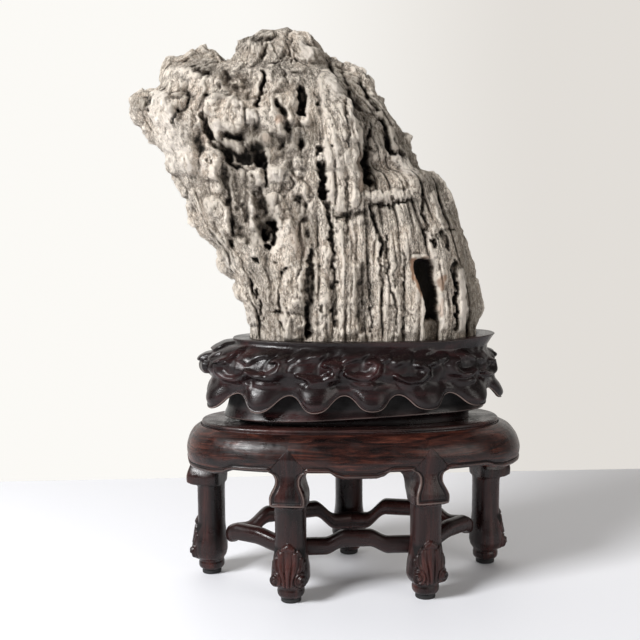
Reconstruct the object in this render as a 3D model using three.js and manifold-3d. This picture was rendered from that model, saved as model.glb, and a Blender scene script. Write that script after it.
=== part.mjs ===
// A scholar's rock on its carved hardwood stand.
//
// The stone is one piece of fluted, cavernous limestone that leans to its left and stands loose in a
// fitted hollow. The hollow is cut in a carved socket block with a scalloped skirt. The block stands on
// a five-legged oval table: a top board, a ring of five bulging aprons, five legs that are mitred into
// the aprons, five humpbacked stretchers between the legs, and a round pad under each foot.
//
// Millimetres, +Z up, -Y is the front. The origin is on the ground under the middle of the object.

import * as THREE from "three";
import { mergeVertices } from "three/addons/utils/BufferGeometryUtils.js";
import Module from "manifold-3d";

const wasm = await Module();
wasm.setup();

// ---- Driving dimensions ----

const GAP = 0.3; // clearance between pieces that touch
const STAND_X = 15.3; // from the origin to the stand's middle, because the stone leans past the stand
const STAND_Y = -0.5;
const PLAN_POWER = 2.3; // 2 is an ellipse, and a larger power is squarer

// Plan outlines of the oval table: half length, half width and the shift of its middle along X
const RING = { x: 137.5, y: 73, shift: 3 }; // widest line of the apron ring
const BOARD = { x: 122.4, y: 58.6, shift: 0 }; // edge of the top board

// Heights above the ground
const PAD_TOP = 4;
const FOOT_TOP = 47; // carved part of the leg
const COLLAR_BOTTOM = 79; // bell-shaped collar of the leg
const APRON_ARCH = 108; // apron's lower edge where it meets a leg
const APRON_DROP = 101; // apron's lower edge in the middle of its span
const APRON_TOP = 131.6;
const MITRE_SHARE = 0.6; // the leg's shoulder climbs this share of the way up between two aprons
const MITRE_TOP = APRON_ARCH + MITRE_SHARE * (APRON_TOP - APRON_ARCH);
const BOARD_BOTTOM = 123.6;
const BOARD_TOP = 135;
const HOLLOW_FLOOR = 195.5; // floor of the hollow that the stone stands in
const RIM_TOP = 202;
const ROCK_BOTTOM = HOLLOW_FLOOR + GAP;

const PAD_RADIUS = 8;
const PAD_SIDES = 16;
const SHOULDER_HALF_WIDTH = 16; // of the leg at the apron's lower edge
const MITRE_TIP = 0.8; // half width left at the tip of the shoulder
const LEG_SET_BACK = 14.5; // from the ring's widest line in to the leg's axis

// Where each leg stands on the ring (eccentric angle) and which way it faces, in degrees, with the
// height of the stretcher ring behind it
const LEGS = [
  { name: "front_left", turn: 246, facing: 258, railHeight: 40 },
  { name: "front_right", turn: 292.7, facing: 282, railHeight: 40 },
  { name: "right", turn: 22.7, facing: 20, railHeight: 37.5 },
  { name: "back", turn: 90, facing: 90, railHeight: 35 },
  { name: "left", turn: 162.5, facing: 160, railHeight: 37.5 },
];

// Each apron and stretcher runs counterclockwise from one leg to the next
const SPANS = [
  { name: "front", from: 0, to: 1, stations: 12, humpHeight: 44.5 },
  { name: "front_right", from: 1, to: 2, stations: 16, humpHeight: 44.5 },
  { name: "back_right", from: 2, to: 3, stations: 13, humpHeight: 48.5 },
  { name: "back_left", from: 3, to: 4, stations: 13, humpHeight: 48.5 },
  { name: "front_left", from: 4, to: 0, stations: 16, humpHeight: 44.5 },
];

// ---- Finishes ----

const STONE = { color: 0xb0a496, roughness: 0.85, metalness: 0 };
const DARK_WOOD = { color: 0x2c1a17, roughness: 0.35, metalness: 0 };
const RED_WOOD = { color: 0x3f211b, roughness: 0.32, metalness: 0 };
const PAD_RUBBER = { color: 0x141214, roughness: 0.8, metalness: 0 };

// ---- Small helpers ----

const degrees = THREE.MathUtils.degToRad;
const mix = THREE.MathUtils.lerp;
const smooth = (x, low, high) => THREE.MathUtils.smoothstep(x, low, high);

// A signed power keeps the quadrant, as a superellipse needs
const signedPower = (value, power) => Math.sign(value) * Math.abs(value) ** power;

// A Gaussian hill of height 1 at zero, falling off over the given width
const hill = (distance, width) => Math.exp(-((distance / width) ** 2));

// Value of a piecewise linear profile, given as rows of [place, value] with rising places
function along(profile, place) {
  const last = profile.length - 1;
  const next = profile.findIndex(([at]) => at > place);
  if (next === 0) return profile[0][1];
  if (next < 0) return profile[last][1];
  const [lowPlace, lowValue] = profile[next - 1];
  const [highPlace, highValue] = profile[next];
  return mix(lowValue, highValue, (place - lowPlace) / (highPlace - lowPlace));
}

// ---- Closed solids from stacked loops ----

function ringOf(sides, pointAt) {
  return Array.from({ length: sides }, (_, index) => pointAt((2 * Math.PI * index) / sides));
}

// Joins loops of equal length into a closed solid. Each end is closed by a strip that pairs the loop's
// first point with its last, its second with the one before the last, and so on.
function loft(loops) {
  const count = loops[0].length;
  const positions = loops.flat().flatMap((point) => point.toArray());
  const faces = [];
  for (let row = 0; row + 1 < loops.length; row += 1) {
    for (let column = 0; column < count; column += 1) {
      const a = row * count + column;
      const b = row * count + ((column + 1) % count);
      faces.push(a, b, b + count, a, b + count, a + count);
    }
  }
  const lid = (first, flip) => {
    for (let low = 0, high = count - 1; low < high; low += 1, high -= 1) {
      const corners = [
        [low, high, low + 1],
        [low + 1, high, high - 1],
      ];
      for (const corner of corners) {
        if (new Set(corner).size < 3) continue;
        const ordered = flip ? corner.toReversed() : corner;
        faces.push(...ordered.map((index) => first + index));
      }
    }
  };
  lid(0, false);
  lid((loops.length - 1) * count, true);
  const geometry = new THREE.BufferGeometry();
  geometry.setAttribute("position", new THREE.Float32BufferAttribute(positions, 3));
  geometry.setIndex(faces);
  geometry.computeVertexNormals();
  return geometry;
}

// ---- Cuts ----

function toManifold(geometry) {
  const bare = geometry.clone();
  bare.deleteAttribute("normal");
  bare.deleteAttribute("uv");
  const merged = mergeVertices(bare, 1e-4);
  const mesh = new wasm.Mesh({
    numProp: 3,
    vertProperties: new Float32Array(merged.attributes.position.array),
    triVerts: new Uint32Array(merged.index.array),
  });
  return new wasm.Manifold(mesh);
}

function fromManifold(manifold) {
  const mesh = manifold.getMesh();
  const geometry = new THREE.BufferGeometry();
  geometry.setAttribute("position", new THREE.BufferAttribute(mesh.vertProperties, 3));
  geometry.setIndex(new THREE.BufferAttribute(mesh.triVerts, 1));
  geometry.computeVertexNormals();
  return geometry;
}

// ---- Oval plan ----

// Point of a superellipse outline at an eccentric angle
function ovalPoint(oval, angle) {
  const c = Math.cos(angle);
  const s = Math.sin(angle);
  const reach = (Math.abs(c) ** PLAN_POWER + Math.abs(s) ** PLAN_POWER) ** (-1 / PLAN_POWER);
  return new THREE.Vector2(oval.x * c * reach + oval.shift, oval.y * s * reach);
}

// Point between the ring's widest line (inset 0) and the board's edge (inset 1), or further in
function ringPoint(angle, inset, z) {
  const plan = ovalPoint(RING, angle).lerp(ovalPoint(BOARD, angle), inset);
  return new THREE.Vector3(plan.x, plan.y, z);
}

// Millimetres of ring outline per radian of eccentric angle
function ringSpeed(angle) {
  const step = 0.01;
  return ovalPoint(RING, angle + step).distanceTo(ovalPoint(RING, angle - step)) / (2 * step);
}

// ---- Aprons ----

// Outer face of the bulging apron, from its lower edge up: [share of its height, inset]
const BULLNOSE = [
  [0, 0.3],
  [0.06, 0.08],
  [0.15, 0.13],
  [0.34, 0],
  [MITRE_SHARE, 0.12],
  [0.84, 0.42],
  [1, 0.9],
];
const APRON_INNER = 0.96; // inset of the apron's back face, just clear of the board

// Half width of the leg's shoulder, which narrows to a tip between two straight mitres
function shoulderHalfWidth(z) {
  const climb = THREE.MathUtils.clamp((z - APRON_ARCH) / (MITRE_TOP - APRON_ARCH), 0, 1);
  return mix(SHOULDER_HALF_WIDTH, MITRE_TIP, climb);
}

// Lower edge of an apron: it hangs lowest along the middle and arches up to the legs in an ogee
function apronEdge(across) {
  return mix(APRON_DROP, APRON_ARCH, smooth(Math.abs(across), 0.44, 0.66));
}

function apronSolid({ from, to, stations }) {
  const start = degrees(LEGS[from].turn);
  const turn = degrees((LEGS[to].turn - LEGS[from].turn + 360) % 360);
  const loops = [];
  for (let station = 0; station < stations; station += 1) {
    const share = station / (stations - 1);
    const low = apronEdge(2 * share - 1);
    const angleAt = (z) => {
      const room = z > MITRE_TOP + GAP ? GAP / 2 : shoulderHalfWidth(z) + GAP;
      const first = start + room / ringSpeed(start);
      const last = start + turn - room / ringSpeed(start + turn);
      return mix(first, last, share);
    };
    const outer = BULLNOSE.map(([height, inset]) => {
      const z = mix(low, APRON_TOP, height);
      return ringPoint(angleAt(z), inset, z);
    });
    const inner = BULLNOSE.map(([height]) => {
      const z = mix(low, APRON_TOP, height);
      return ringPoint(angleAt(z), APRON_INNER, z);
    });
    loops.push([...inner, ...outer.reverse()]);
  }
  return loft(loops);
}

// ---- Legs ----

// Sections of a leg from the ground up: half width at the front and at the back, and how far its
// outer and inner faces stand from the axis
const LEG_SECTIONS = [
  { z: PAD_TOP + GAP, front: 8.8, back: 8.8, out: 8.8, inward: 8.8, round: 1 },
  { z: 7, front: 10.3, back: 10.3, out: 10.3, inward: 10.3, round: 1 },
  { z: 12.5, front: 9.6, back: 9.6, out: 9.8, inward: 9.6, round: 1 },
  { z: 14.5, front: 13, back: 12.5, out: 12, inward: 11, round: 0.7 },
  { z: 22, front: 15.4, back: 14.8, out: 14.5, inward: 12.3, round: 0.6 },
  { z: 37, front: 13.8, back: 13.2, out: 11, inward: 11.5, round: 0.6 },
  { z: FOOT_TOP, front: 12.6, back: 11.8, out: 12.5, inward: 11, round: 0.6 },
  { z: 51, front: 11.9, back: 11.8, out: 10, inward: 11, round: 0.6 },
  { z: COLLAR_BOTTOM, front: 11.9, back: 11.6, out: 10, inward: 11, round: 0.6 },
  { z: COLLAR_BOTTOM + 2, front: 14.6, back: 12.5, out: 16.5, inward: 11, round: 0.4 },
  { z: 88, front: 14.8, back: 14, out: 17, inward: 11, round: 0.4 },
  { z: 100, front: 10.6, back: 12, out: 15.5, inward: 11, round: 0.4 },
];
const SHOULDER_SHARES = [-0.06, 0, 0.15, 0.34, MITRE_SHARE]; // of the height of the apron's end
const CORNER_CUT = 0.42; // share of a corner that its rounding takes, at round 1
const LEG_DEPTH = 25; // from the ring's widest line in to the back of a leg's shoulder

// One octagon with cut corners, as [across, outward] offsets, counterclockwise seen from above when
// outward is up
function legOutline({ front, back, out, inward, round }) {
  const side = (width, depth) => [width * CORNER_CUT * round, depth * CORNER_CUT * round];
  const [frontCut, outCut] = side(front, out);
  const [backCut, inCut] = side(back, inward);
  return [
    [-front + frontCut, out],
    [-front, out - outCut],
    [-mix(front, back, 0.5), 0],
    [-back, -inward + inCut],
    [-back + backCut, -inward],
    [0, -inward],
    [back - backCut, -inward],
    [back, -inward + inCut],
    [mix(front, back, 0.5), 0],
    [front, out - outCut],
    [front - frontCut, out],
    [0, out],
  ];
}

function legFrame({ turn, facing }) {
  const outward = new THREE.Vector2(Math.cos(degrees(facing)), Math.sin(degrees(facing)));
  const across = new THREE.Vector2(outward.y, -outward.x);
  const axis = ovalPoint(RING, degrees(turn)).addScaledVector(outward, -LEG_SET_BACK);
  return { axis, outward, across };
}

// A leg that is swollen by the given amount, to cut a stretcher clear of it
function legSolid(leg, swell) {
  const { axis, outward, across } = legFrame(leg);
  const angle = degrees(leg.turn);
  const speed = ringSpeed(angle);
  const straight = LEG_SECTIONS.map((section) => {
    const grown = { ...section };
    for (const key of ["front", "back", "out", "inward"]) grown[key] += swell;
    return legOutline(grown).map(([side, depth]) => {
      const plan = axis.clone().addScaledVector(across, side).addScaledVector(outward, depth);
      return new THREE.Vector3(plan.x, plan.y, section.z);
    });
  });
  const ringDepth = ovalPoint(RING, angle).distanceTo(ovalPoint(BOARD, angle));
  const shoulder = SHOULDER_SHARES.map((height) => {
    const z = mix(APRON_ARCH, APRON_TOP, height);
    const half = shoulderHalfWidth(z);
    const outInset = along(BULLNOSE, Math.max(height, 0.1));
    const depths = legOutline({ front: half, back: half, out: 1, inward: 1, round: 0 });
    return depths.map(([side, depth]) => {
      const inset = depth > 0 ? outInset : mix(outInset, LEG_DEPTH / ringDepth, 0.5 - 0.5 * depth);
      return ringPoint(angle - side / speed, inset, z);
    });
  });
  return loft([...straight, ...shoulder]);
}

// ---- Stretchers ----

const RAIL_SET_BACK = 17.5; // from a leg's axis in to the corner of the stretcher ring behind it
const RAIL_HALF_HEIGHT = 6.8;
const RAIL_HALF_DEPTH = 6;
const RAIL_STATIONS = 13;
const RAIL_SIDES = 10;

function railCorner(leg) {
  const { axis, outward } = legFrame(leg);
  return axis.addScaledVector(outward, -RAIL_SET_BACK);
}

// A humpbacked rail between two corners of the ring, mitred to its neighbours and housed in the legs
function stretcherSolid({ from, to, humpHeight }, index) {
  const before = railCorner(LEGS[SPANS.at(index - 1).from]);
  const start = railCorner(LEGS[from]);
  const end = railCorner(LEGS[to]);
  const after = railCorner(LEGS[SPANS[(index + 1) % SPANS.length].to]);
  const run = end.clone().sub(start);
  const length = run.length();
  const forward = run.divideScalar(length);
  const sideways = new THREE.Vector2(-forward.y, forward.x);
  // Skew of an end face: half the corner's turn, so that two rails meet on its bisector
  const skew = (towards) => Math.tan(towards.angle() / 2);
  const relative = (v) => new THREE.Vector2(v.dot(forward), v.dot(sideways));
  const startSkew = skew(relative(start.clone().sub(before)));
  const endSkew = skew(relative(after.sub(end)));
  const loops = [];
  for (let station = 0; station < RAIL_STATIONS; station += 1) {
    const share = station / (RAIL_STATIONS - 1);
    const edge = Math.abs(2 * share - 1);
    const rise = 1 - smooth(edge, 0.44, 0.76);
    const low = mix(LEGS[from].railHeight, LEGS[to].railHeight, share);
    const middle = mix(low, humpHeight, rise);
    loops.push(ringOf(RAIL_SIDES, (angle) => {
      const side = RAIL_HALF_DEPTH * Math.cos(angle);
      const place = mix(GAP / 2 - side * startSkew, length - GAP / 2 - side * endSkew, share);
      const plan = start.clone().addScaledVector(forward, place).addScaledVector(sideways, side);
      return new THREE.Vector3(plan.x, plan.y, middle + RAIL_HALF_HEIGHT * Math.sin(angle));
    }));
  }
  const cut = toManifold(loft(loops))
    .subtract(toManifold(legSolid(LEGS[from], GAP)))
    .subtract(toManifold(legSolid(LEGS[to], GAP)));
  const pieces = cut.decompose().sort((a, b) => b.volume() - a.volume());
  return fromManifold(pieces[0]);
}

// ---- Top board ----

const BOARD_SIDES = 56;
const BOARD_EDGE = [
  [BOARD_BOTTOM, 0],
  [BOARD_TOP - 1.5, 0],
  [BOARD_TOP, 1.5],
];

function boardSolid() {
  const loops = BOARD_EDGE.map(([z, inset]) => {
    const oval = { x: BOARD.x - inset, y: BOARD.y - inset, shift: BOARD.shift };
    return ringOf(BOARD_SIDES, (angle) => {
      const plan = ovalPoint(oval, angle);
      return new THREE.Vector3(plan.x, plan.y, z);
    });
  });
  return loft(loops);
}

// ---- Stone ----

// Matching points up the stone's left and right edges, as [x, z] from the stand's middle
const LEFT_EDGE = [
  [-81, ROCK_BOTTOM], [-84, 216], [-94, 243], [-109, 272], [-121, 292], [-135, 318],
  [-146, 345], [-162, 367], [-172, 391], [-154, 411], [-130, 426], [-96, 431], [-67, 447],
];
const RIGHT_EDGE = [
  [102, ROCK_BOTTOM], [103, 216], [101, 243], [93, 272], [86, 292], [75, 319],
  [53, 338], [41, 365], [27, 390], [8, 411], [-10, 426], [-22, 439], [-42, 450],
];
const HALF_DEPTH = [
  [0, 37], [0.1, 40], [0.35, 47], [0.6, 50], [0.75, 46], [0.87, 36], [0.95, 22], [1, 9],
];
const ROCK_POWER = 2.5;
const ROCK_SIDES = 42;
const ROCK_LEVELS = 29;
const FLUTE_DEPTH = 2.4;
const FLUTE_SPACING = 27;

// Bosses and hollows of the stone's front: middle, half size and how far each stands out
const FRONT_RELIEF = [
  { x: -130, z: 388, wide: 26, high: 22, out: 7 }, // overhanging boulder, upper left
  { x: -92, z: 412, wide: 20, high: 16, out: -13 }, // saddle between the boulder and the peak
  { x: -76, z: 350, wide: 14, high: 15, out: -12 }, // upper cave
  { x: -68, z: 304, wide: 13, high: 26, out: -10 }, // lower cave
  { x: -8, z: 340, wide: 17, high: 34, out: 8 }, // hanging tongue
  { x: 31, z: 318, wide: 24, high: 9, out: 6 }, // ledge
  { x: 60, z: 243, wide: 9, high: 28, out: -12 }, // tall slot near the right foot
];

function edgeCurve(points) {
  return new THREE.SplineCurve(points.map(([x, z]) => new THREE.Vector2(x, z)));
}

const leftCurve = edgeCurve(LEFT_EDGE);
const rightCurve = edgeCurve(RIGHT_EDGE);

// Vertical flutes, deepest low on the stone, which fade out at its foot so that it fits the hollow
function fluting(x, rise) {
  const wave = 0.5 - 0.5 * Math.cos((2 * Math.PI * (x + 40 * rise)) / FLUTE_SPACING);
  return FLUTE_DEPTH * wave * smooth(rise, 0.03, 0.12) * (1 - 0.6 * smooth(rise, 0.5, 0.8));
}

function frontRelief(x, z) {
  return FRONT_RELIEF.reduce(
    (sum, boss) => sum + boss.out * hill(x - boss.x, boss.wide) * hill(z - boss.z, boss.high),
    0,
  );
}

// Point on the stone: a level section between its two edges, bent to a superellipse and carved
function rockPoint(angle, rise) {
  const left = leftCurve.getPoint(rise);
  const right = rightCurve.getPoint(rise);
  const share = 0.5 + 0.5 * signedPower(Math.cos(angle), 2 / ROCK_POWER);
  const x = mix(left.x, right.x, share);
  const z = mix(left.y, right.y, share);
  const bow = signedPower(Math.sin(angle), 2 / ROCK_POWER);
  const carved = Math.abs(bow) * fluting(x, rise);
  const relief = bow < 0 ? bow * bow * frontRelief(x, z) : 0;
  const depth = along(HALF_DEPTH, rise) - carved / Math.max(Math.abs(bow), 0.2);
  return new THREE.Vector3(x, depth * bow - relief, z);
}

function rockSolid() {
  const loops = [];
  for (let level = 0; level < ROCK_LEVELS; level += 1) {
    const rise = level / (ROCK_LEVELS - 1);
    loops.push(ringOf(ROCK_SIDES, (angle) => rockPoint(angle + Math.PI / ROCK_SIDES, rise)));
  }
  return loft(loops);
}

// ---- Socket block ----

const SKIRT = { x: 121, y: 61, shift: 2 }; // mean outline of the scalloped skirt
const LOBES = 13; // scallops around the skirt
const LOBE_SIDES = 6; // facets to each scallop
const LOBE_PHASE = 0.028; // in scallops
const LOBE_CROWDING = 0.068; // in scallops, which draws them closer together along the front
const FIT = 1.4; // room around the stone's foot

// Eccentric angles that cut an oval's outline into equal lengths
function evenAngles(oval, count) {
  const steps = 1440;
  const lengths = [0];
  for (let step = 1; step <= steps; step += 1) {
    const here = ovalPoint(oval, (2 * Math.PI * step) / steps);
    const last = ovalPoint(oval, (2 * Math.PI * (step - 1)) / steps);
    lengths.push(lengths[step - 1] + here.distanceTo(last));
  }
  return Array.from({ length: count }, (_, index) => {
    const wanted = (lengths[steps] * index) / count;
    const step = lengths.findIndex((length) => length >= wanted);
    return (2 * Math.PI * step) / steps;
  });
}

// Profile of the carved block from its base, out, up, and in to the rim. lobes is how far a row swings
// with the scallops, outward and upward.
const SOCKET_ROWS = [
  { x: 100, y: 47, shift: 3, z: BOARD_TOP + GAP },
  { x: 100, y: 47, shift: 3, z: 138.8 },
  { x: 106.5, y: 52, shift: 3, z: 139.2 },
  { x: 103.5, y: 50, shift: 3, z: 147 },
  { x: 105, y: 51, shift: 3, z: 160 },
  { x: 118.5, y: 58, shift: 2, z: 155.5, lobes: [3.5, -5.5] },
  { x: 119.5, y: 59, shift: 2, z: 158.5, lobes: [4, -4.5] },
  { x: 114.5, y: 55, shift: 1, z: 169, lobes: [1, 0] },
  { x: 120, y: 57, shift: -1, z: 178 },
  { x: 118.5, y: 56, shift: -1, z: 185 },
  { x: 108, y: 50, shift: 3, z: 194 },
  { x: 106.8, y: 49.5, shift: 11, z: 200.5 },
  { x: 105, y: 48.5, shift: 11.2, z: RIM_TOP },
];

function socketSolid() {
  const angles = evenAngles(SKIRT, LOBES * LOBE_SIDES);
  const loops = SOCKET_ROWS.map(({ x, y, shift, z, lobes = [0, 0] }) => angles.map((angle, index) => {
    const share = index / angles.length;
    const crowding = LOBE_CROWDING * Math.sin(2 * Math.PI * (share - 0.75));
    const wave = Math.cos(2 * Math.PI * (LOBES * share + crowding + LOBE_PHASE));
    const plan = ovalPoint({ x: x + lobes[0] * wave, y: y + lobes[0] * wave, shift }, angle);
    return new THREE.Vector3(plan.x, plan.y, z + lobes[1] * wave);
  }));
  const middle = (LEFT_EDGE[0][0] + RIGHT_EDGE[0][0]) / 2;
  const grow = 1 + FIT / HALF_DEPTH[0][1];
  const widen = 1 + FIT / (RIGHT_EDGE[0][0] - middle);
  for (const z of [RIM_TOP, HOLLOW_FLOOR]) {
    loops.push(angles.map((angle) => {
      const foot = rockPoint(angle, 0);
      return new THREE.Vector3(middle + (foot.x - middle) * widen, foot.y * grow, z);
    }));
  }
  return loft(loops);
}

// ---- Foot pads ----

function padSolid() {
  const edge = 0.7;
  const profile = [
    [0, 0],
    [PAD_RADIUS - edge, 0],
    [PAD_RADIUS, edge],
    [PAD_RADIUS, PAD_TOP],
    [0, PAD_TOP],
  ].map(([radius, height]) => new THREE.Vector2(radius, height));
  return new THREE.LatheGeometry(profile, PAD_SIDES).rotateX(Math.PI / 2);
}

// ---- Assembly ----

const stand = new THREE.Group();
stand.position.set(STAND_X, STAND_Y, 0);

function add(name, geometry, finish) {
  const mesh = new THREE.Mesh(geometry, new THREE.MeshStandardMaterial(finish));
  mesh.name = name;
  stand.add(mesh);
  return mesh;
}

add("scholar_rock", rockSolid(), STONE);
add("socket_base", socketSolid(), DARK_WOOD);
add("top_board", boardSolid(), DARK_WOOD);
SPANS.forEach((span, index) => {
  add(`apron_${span.name}`, apronSolid(span), RED_WOOD);
  add(`stretcher_${span.name}`, stretcherSolid(span, index), DARK_WOOD);
});
for (const leg of LEGS) {
  const { axis } = legFrame(leg);
  add(`leg_${leg.name}`, legSolid(leg, 0), DARK_WOOD);
  add(`foot_pad_${leg.name}`, padSolid(), PAD_RUBBER).position.set(axis.x, axis.y, 0);
}

const object = new THREE.Group();
object.add(stand);

export default object;
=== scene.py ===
"""A scholar's rock on its carved hardwood stand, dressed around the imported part.

The stone is a fluted, cavernous limestone that leans to its left and stands loose in a carved socket
block with a scalloped skirt. The block stands on an oval table with five curved legs. Every piece is a
surface worked out with numpy in the stand's own millimetres, and then carried into the part's frame in
metres: the stand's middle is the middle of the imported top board.
"""

from __future__ import annotations

import logging
from dataclasses import dataclass
from enum import Enum
from math import radians

import bpy
import numpy as np
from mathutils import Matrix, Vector


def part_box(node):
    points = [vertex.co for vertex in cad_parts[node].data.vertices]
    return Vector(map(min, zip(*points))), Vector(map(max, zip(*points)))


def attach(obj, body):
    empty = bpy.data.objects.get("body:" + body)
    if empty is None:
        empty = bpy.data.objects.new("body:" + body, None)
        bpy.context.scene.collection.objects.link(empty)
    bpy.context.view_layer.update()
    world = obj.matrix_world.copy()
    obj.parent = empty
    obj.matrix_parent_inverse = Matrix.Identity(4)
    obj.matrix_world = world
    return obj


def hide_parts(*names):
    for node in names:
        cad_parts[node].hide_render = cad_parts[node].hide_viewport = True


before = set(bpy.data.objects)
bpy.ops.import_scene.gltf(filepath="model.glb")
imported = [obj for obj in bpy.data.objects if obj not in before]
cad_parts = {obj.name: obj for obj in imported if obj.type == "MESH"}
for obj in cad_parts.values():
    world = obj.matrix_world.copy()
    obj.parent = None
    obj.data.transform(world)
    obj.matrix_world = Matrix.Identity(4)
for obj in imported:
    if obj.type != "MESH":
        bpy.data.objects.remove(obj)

log = logging.getLogger("scholars_rock")

Array = np.ndarray
Number = float | Array
Points = tuple[tuple[float, ...], ...]
Colour = tuple[float, float, float]
Port = bpy.types.NodeSocket
Material = bpy.types.Material
Piece = bpy.types.Object
Feed = Port | float | tuple[float, ...]

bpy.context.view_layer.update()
MILLIMETRE = 0.001
TAU = 2.0 * np.pi


# ---- Numbers and curves ----


def mix(low: Number, high: Number, share: Number) -> Number:
    """Straight blend from low, at share 0, to high, at share 1."""
    return low + (high - low) * share


def smooth(value: Array, low: float, high: float) -> Array:
    """Cubic step that is 0 below low and 1 above high, 3t^2 - 2t^3 between them."""
    share = np.clip((value - low) / (high - low), 0.0, 1.0)
    return share * share * (3.0 - 2.0 * share)


def fade(value: Array, low: float, high: float) -> Array:
    """The same step turned round: 1 below low and 0 above high."""
    return 1.0 - smooth(value, low, high)


def bell(value: Array, middle: float, width: float) -> Array:
    """Bell curve, exp(-((value - middle) / width)^2)."""
    return np.exp(-(((value - middle) / width) ** 2))


def signed_power(value: Array, power: float) -> Array:
    """The size raised to the power, with the sign kept."""
    return np.sign(value) * np.abs(value) ** power


def spread(values: Array, reach: int) -> Array:
    """A field averaged over a square of grid cells, twice, wrapping round its columns.

    Args:
        values: the field, rows by columns.
        reach: how many cells the square reaches to each side.

    Returns:
        The averaged field.
    """
    span = 2 * reach + 1
    for _ in range(2):
        ring = np.concatenate([values[:, -reach:], values, values[:, :reach]], axis=1)
        total = np.cumsum(np.concatenate([np.zeros((len(values), 1)), ring], axis=1), axis=1)
        values = (total[:, span:] - total[:, :-span]) / span
        tall = np.concatenate([values[:1].repeat(reach, 0), values, values[-1:].repeat(reach, 0)])
        total = np.cumsum(np.concatenate([np.zeros((1, tall.shape[1])), tall]), axis=0)
        values = (total[span:] - total[:-span]) / span
    return values


def hermite(places: Array, values: Array, where: Array) -> Array:
    """Smooth curve through given values, by cubic Hermite pieces that never overshoot them.

    The slope at a given value is the harmonic mean of the two chords that meet there, or level where
    the chords point opposite ways.

    Args:
        places: rising places of the given values.
        values: one value, or one row of values, for each place.
        where: places to read the curve at.

    Returns:
        The curve's values at the wanted places.
    """
    places = np.asarray(places, float)
    values = np.asarray(values, float)
    chords = np.diff(values, axis=0) / np.diff(places).reshape(-1, *[1] * (values.ndim - 1))
    before, after = chords[:-1], chords[1:]
    level = before * after <= 0
    inner = np.where(level, 0.0, 2.0 * before * after / np.where(level, 1.0, before + after))
    slopes = np.concatenate([chords[:1], inner, chords[-1:]])
    index = np.clip(np.searchsorted(places, where, side="right") - 1, 0, len(places) - 2)
    step = places[index + 1] - places[index]
    share = np.clip((where - places[index]) / step, 0.0, 1.0)
    if values.ndim > 1:
        step, share = step[..., None], share[..., None]
    start, end = values[index], values[index + 1]
    return (
        (2 * share**3 - 3 * share**2 + 1) * start
        + (share**3 - 2 * share**2 + share) * step * slopes[index]
        + (3 * share**2 - 2 * share**3) * end
        + (share**3 - share**2) * step * slopes[index + 1]
    )


def chain(x: Array, z: Array, path: Points) -> Array:
    """Distance to a chain of circles joined by tapering bars, in radii of the chain at that place.

    Args:
        x: places across.
        z: places up.
        path: (x, z, radius) of each circle.

    Returns:
        0 on the chain's middle line, 1 on its edge, and more outside it.
    """
    nodes = np.asarray(path, float)
    if len(nodes) == 1:
        return np.hypot(x - nodes[0, 0], z - nodes[0, 1]) / nodes[0, 2]
    nearest = np.full(np.shape(x), np.inf)
    for first, last in zip(nodes[:-1], nodes[1:]):
        run = last[:2] - first[:2]
        share = ((x - first[0]) * run[0] + (z - first[1]) * run[1]) / (run @ run)
        share = np.clip(share, 0.0, 1.0)
        away = np.hypot(x - first[0] - share * run[0], z - first[1] - share * run[1])
        nearest = np.minimum(nearest, away / mix(first[2], last[2], share))
    return nearest


# ---- Noise on a lattice ----


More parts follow.
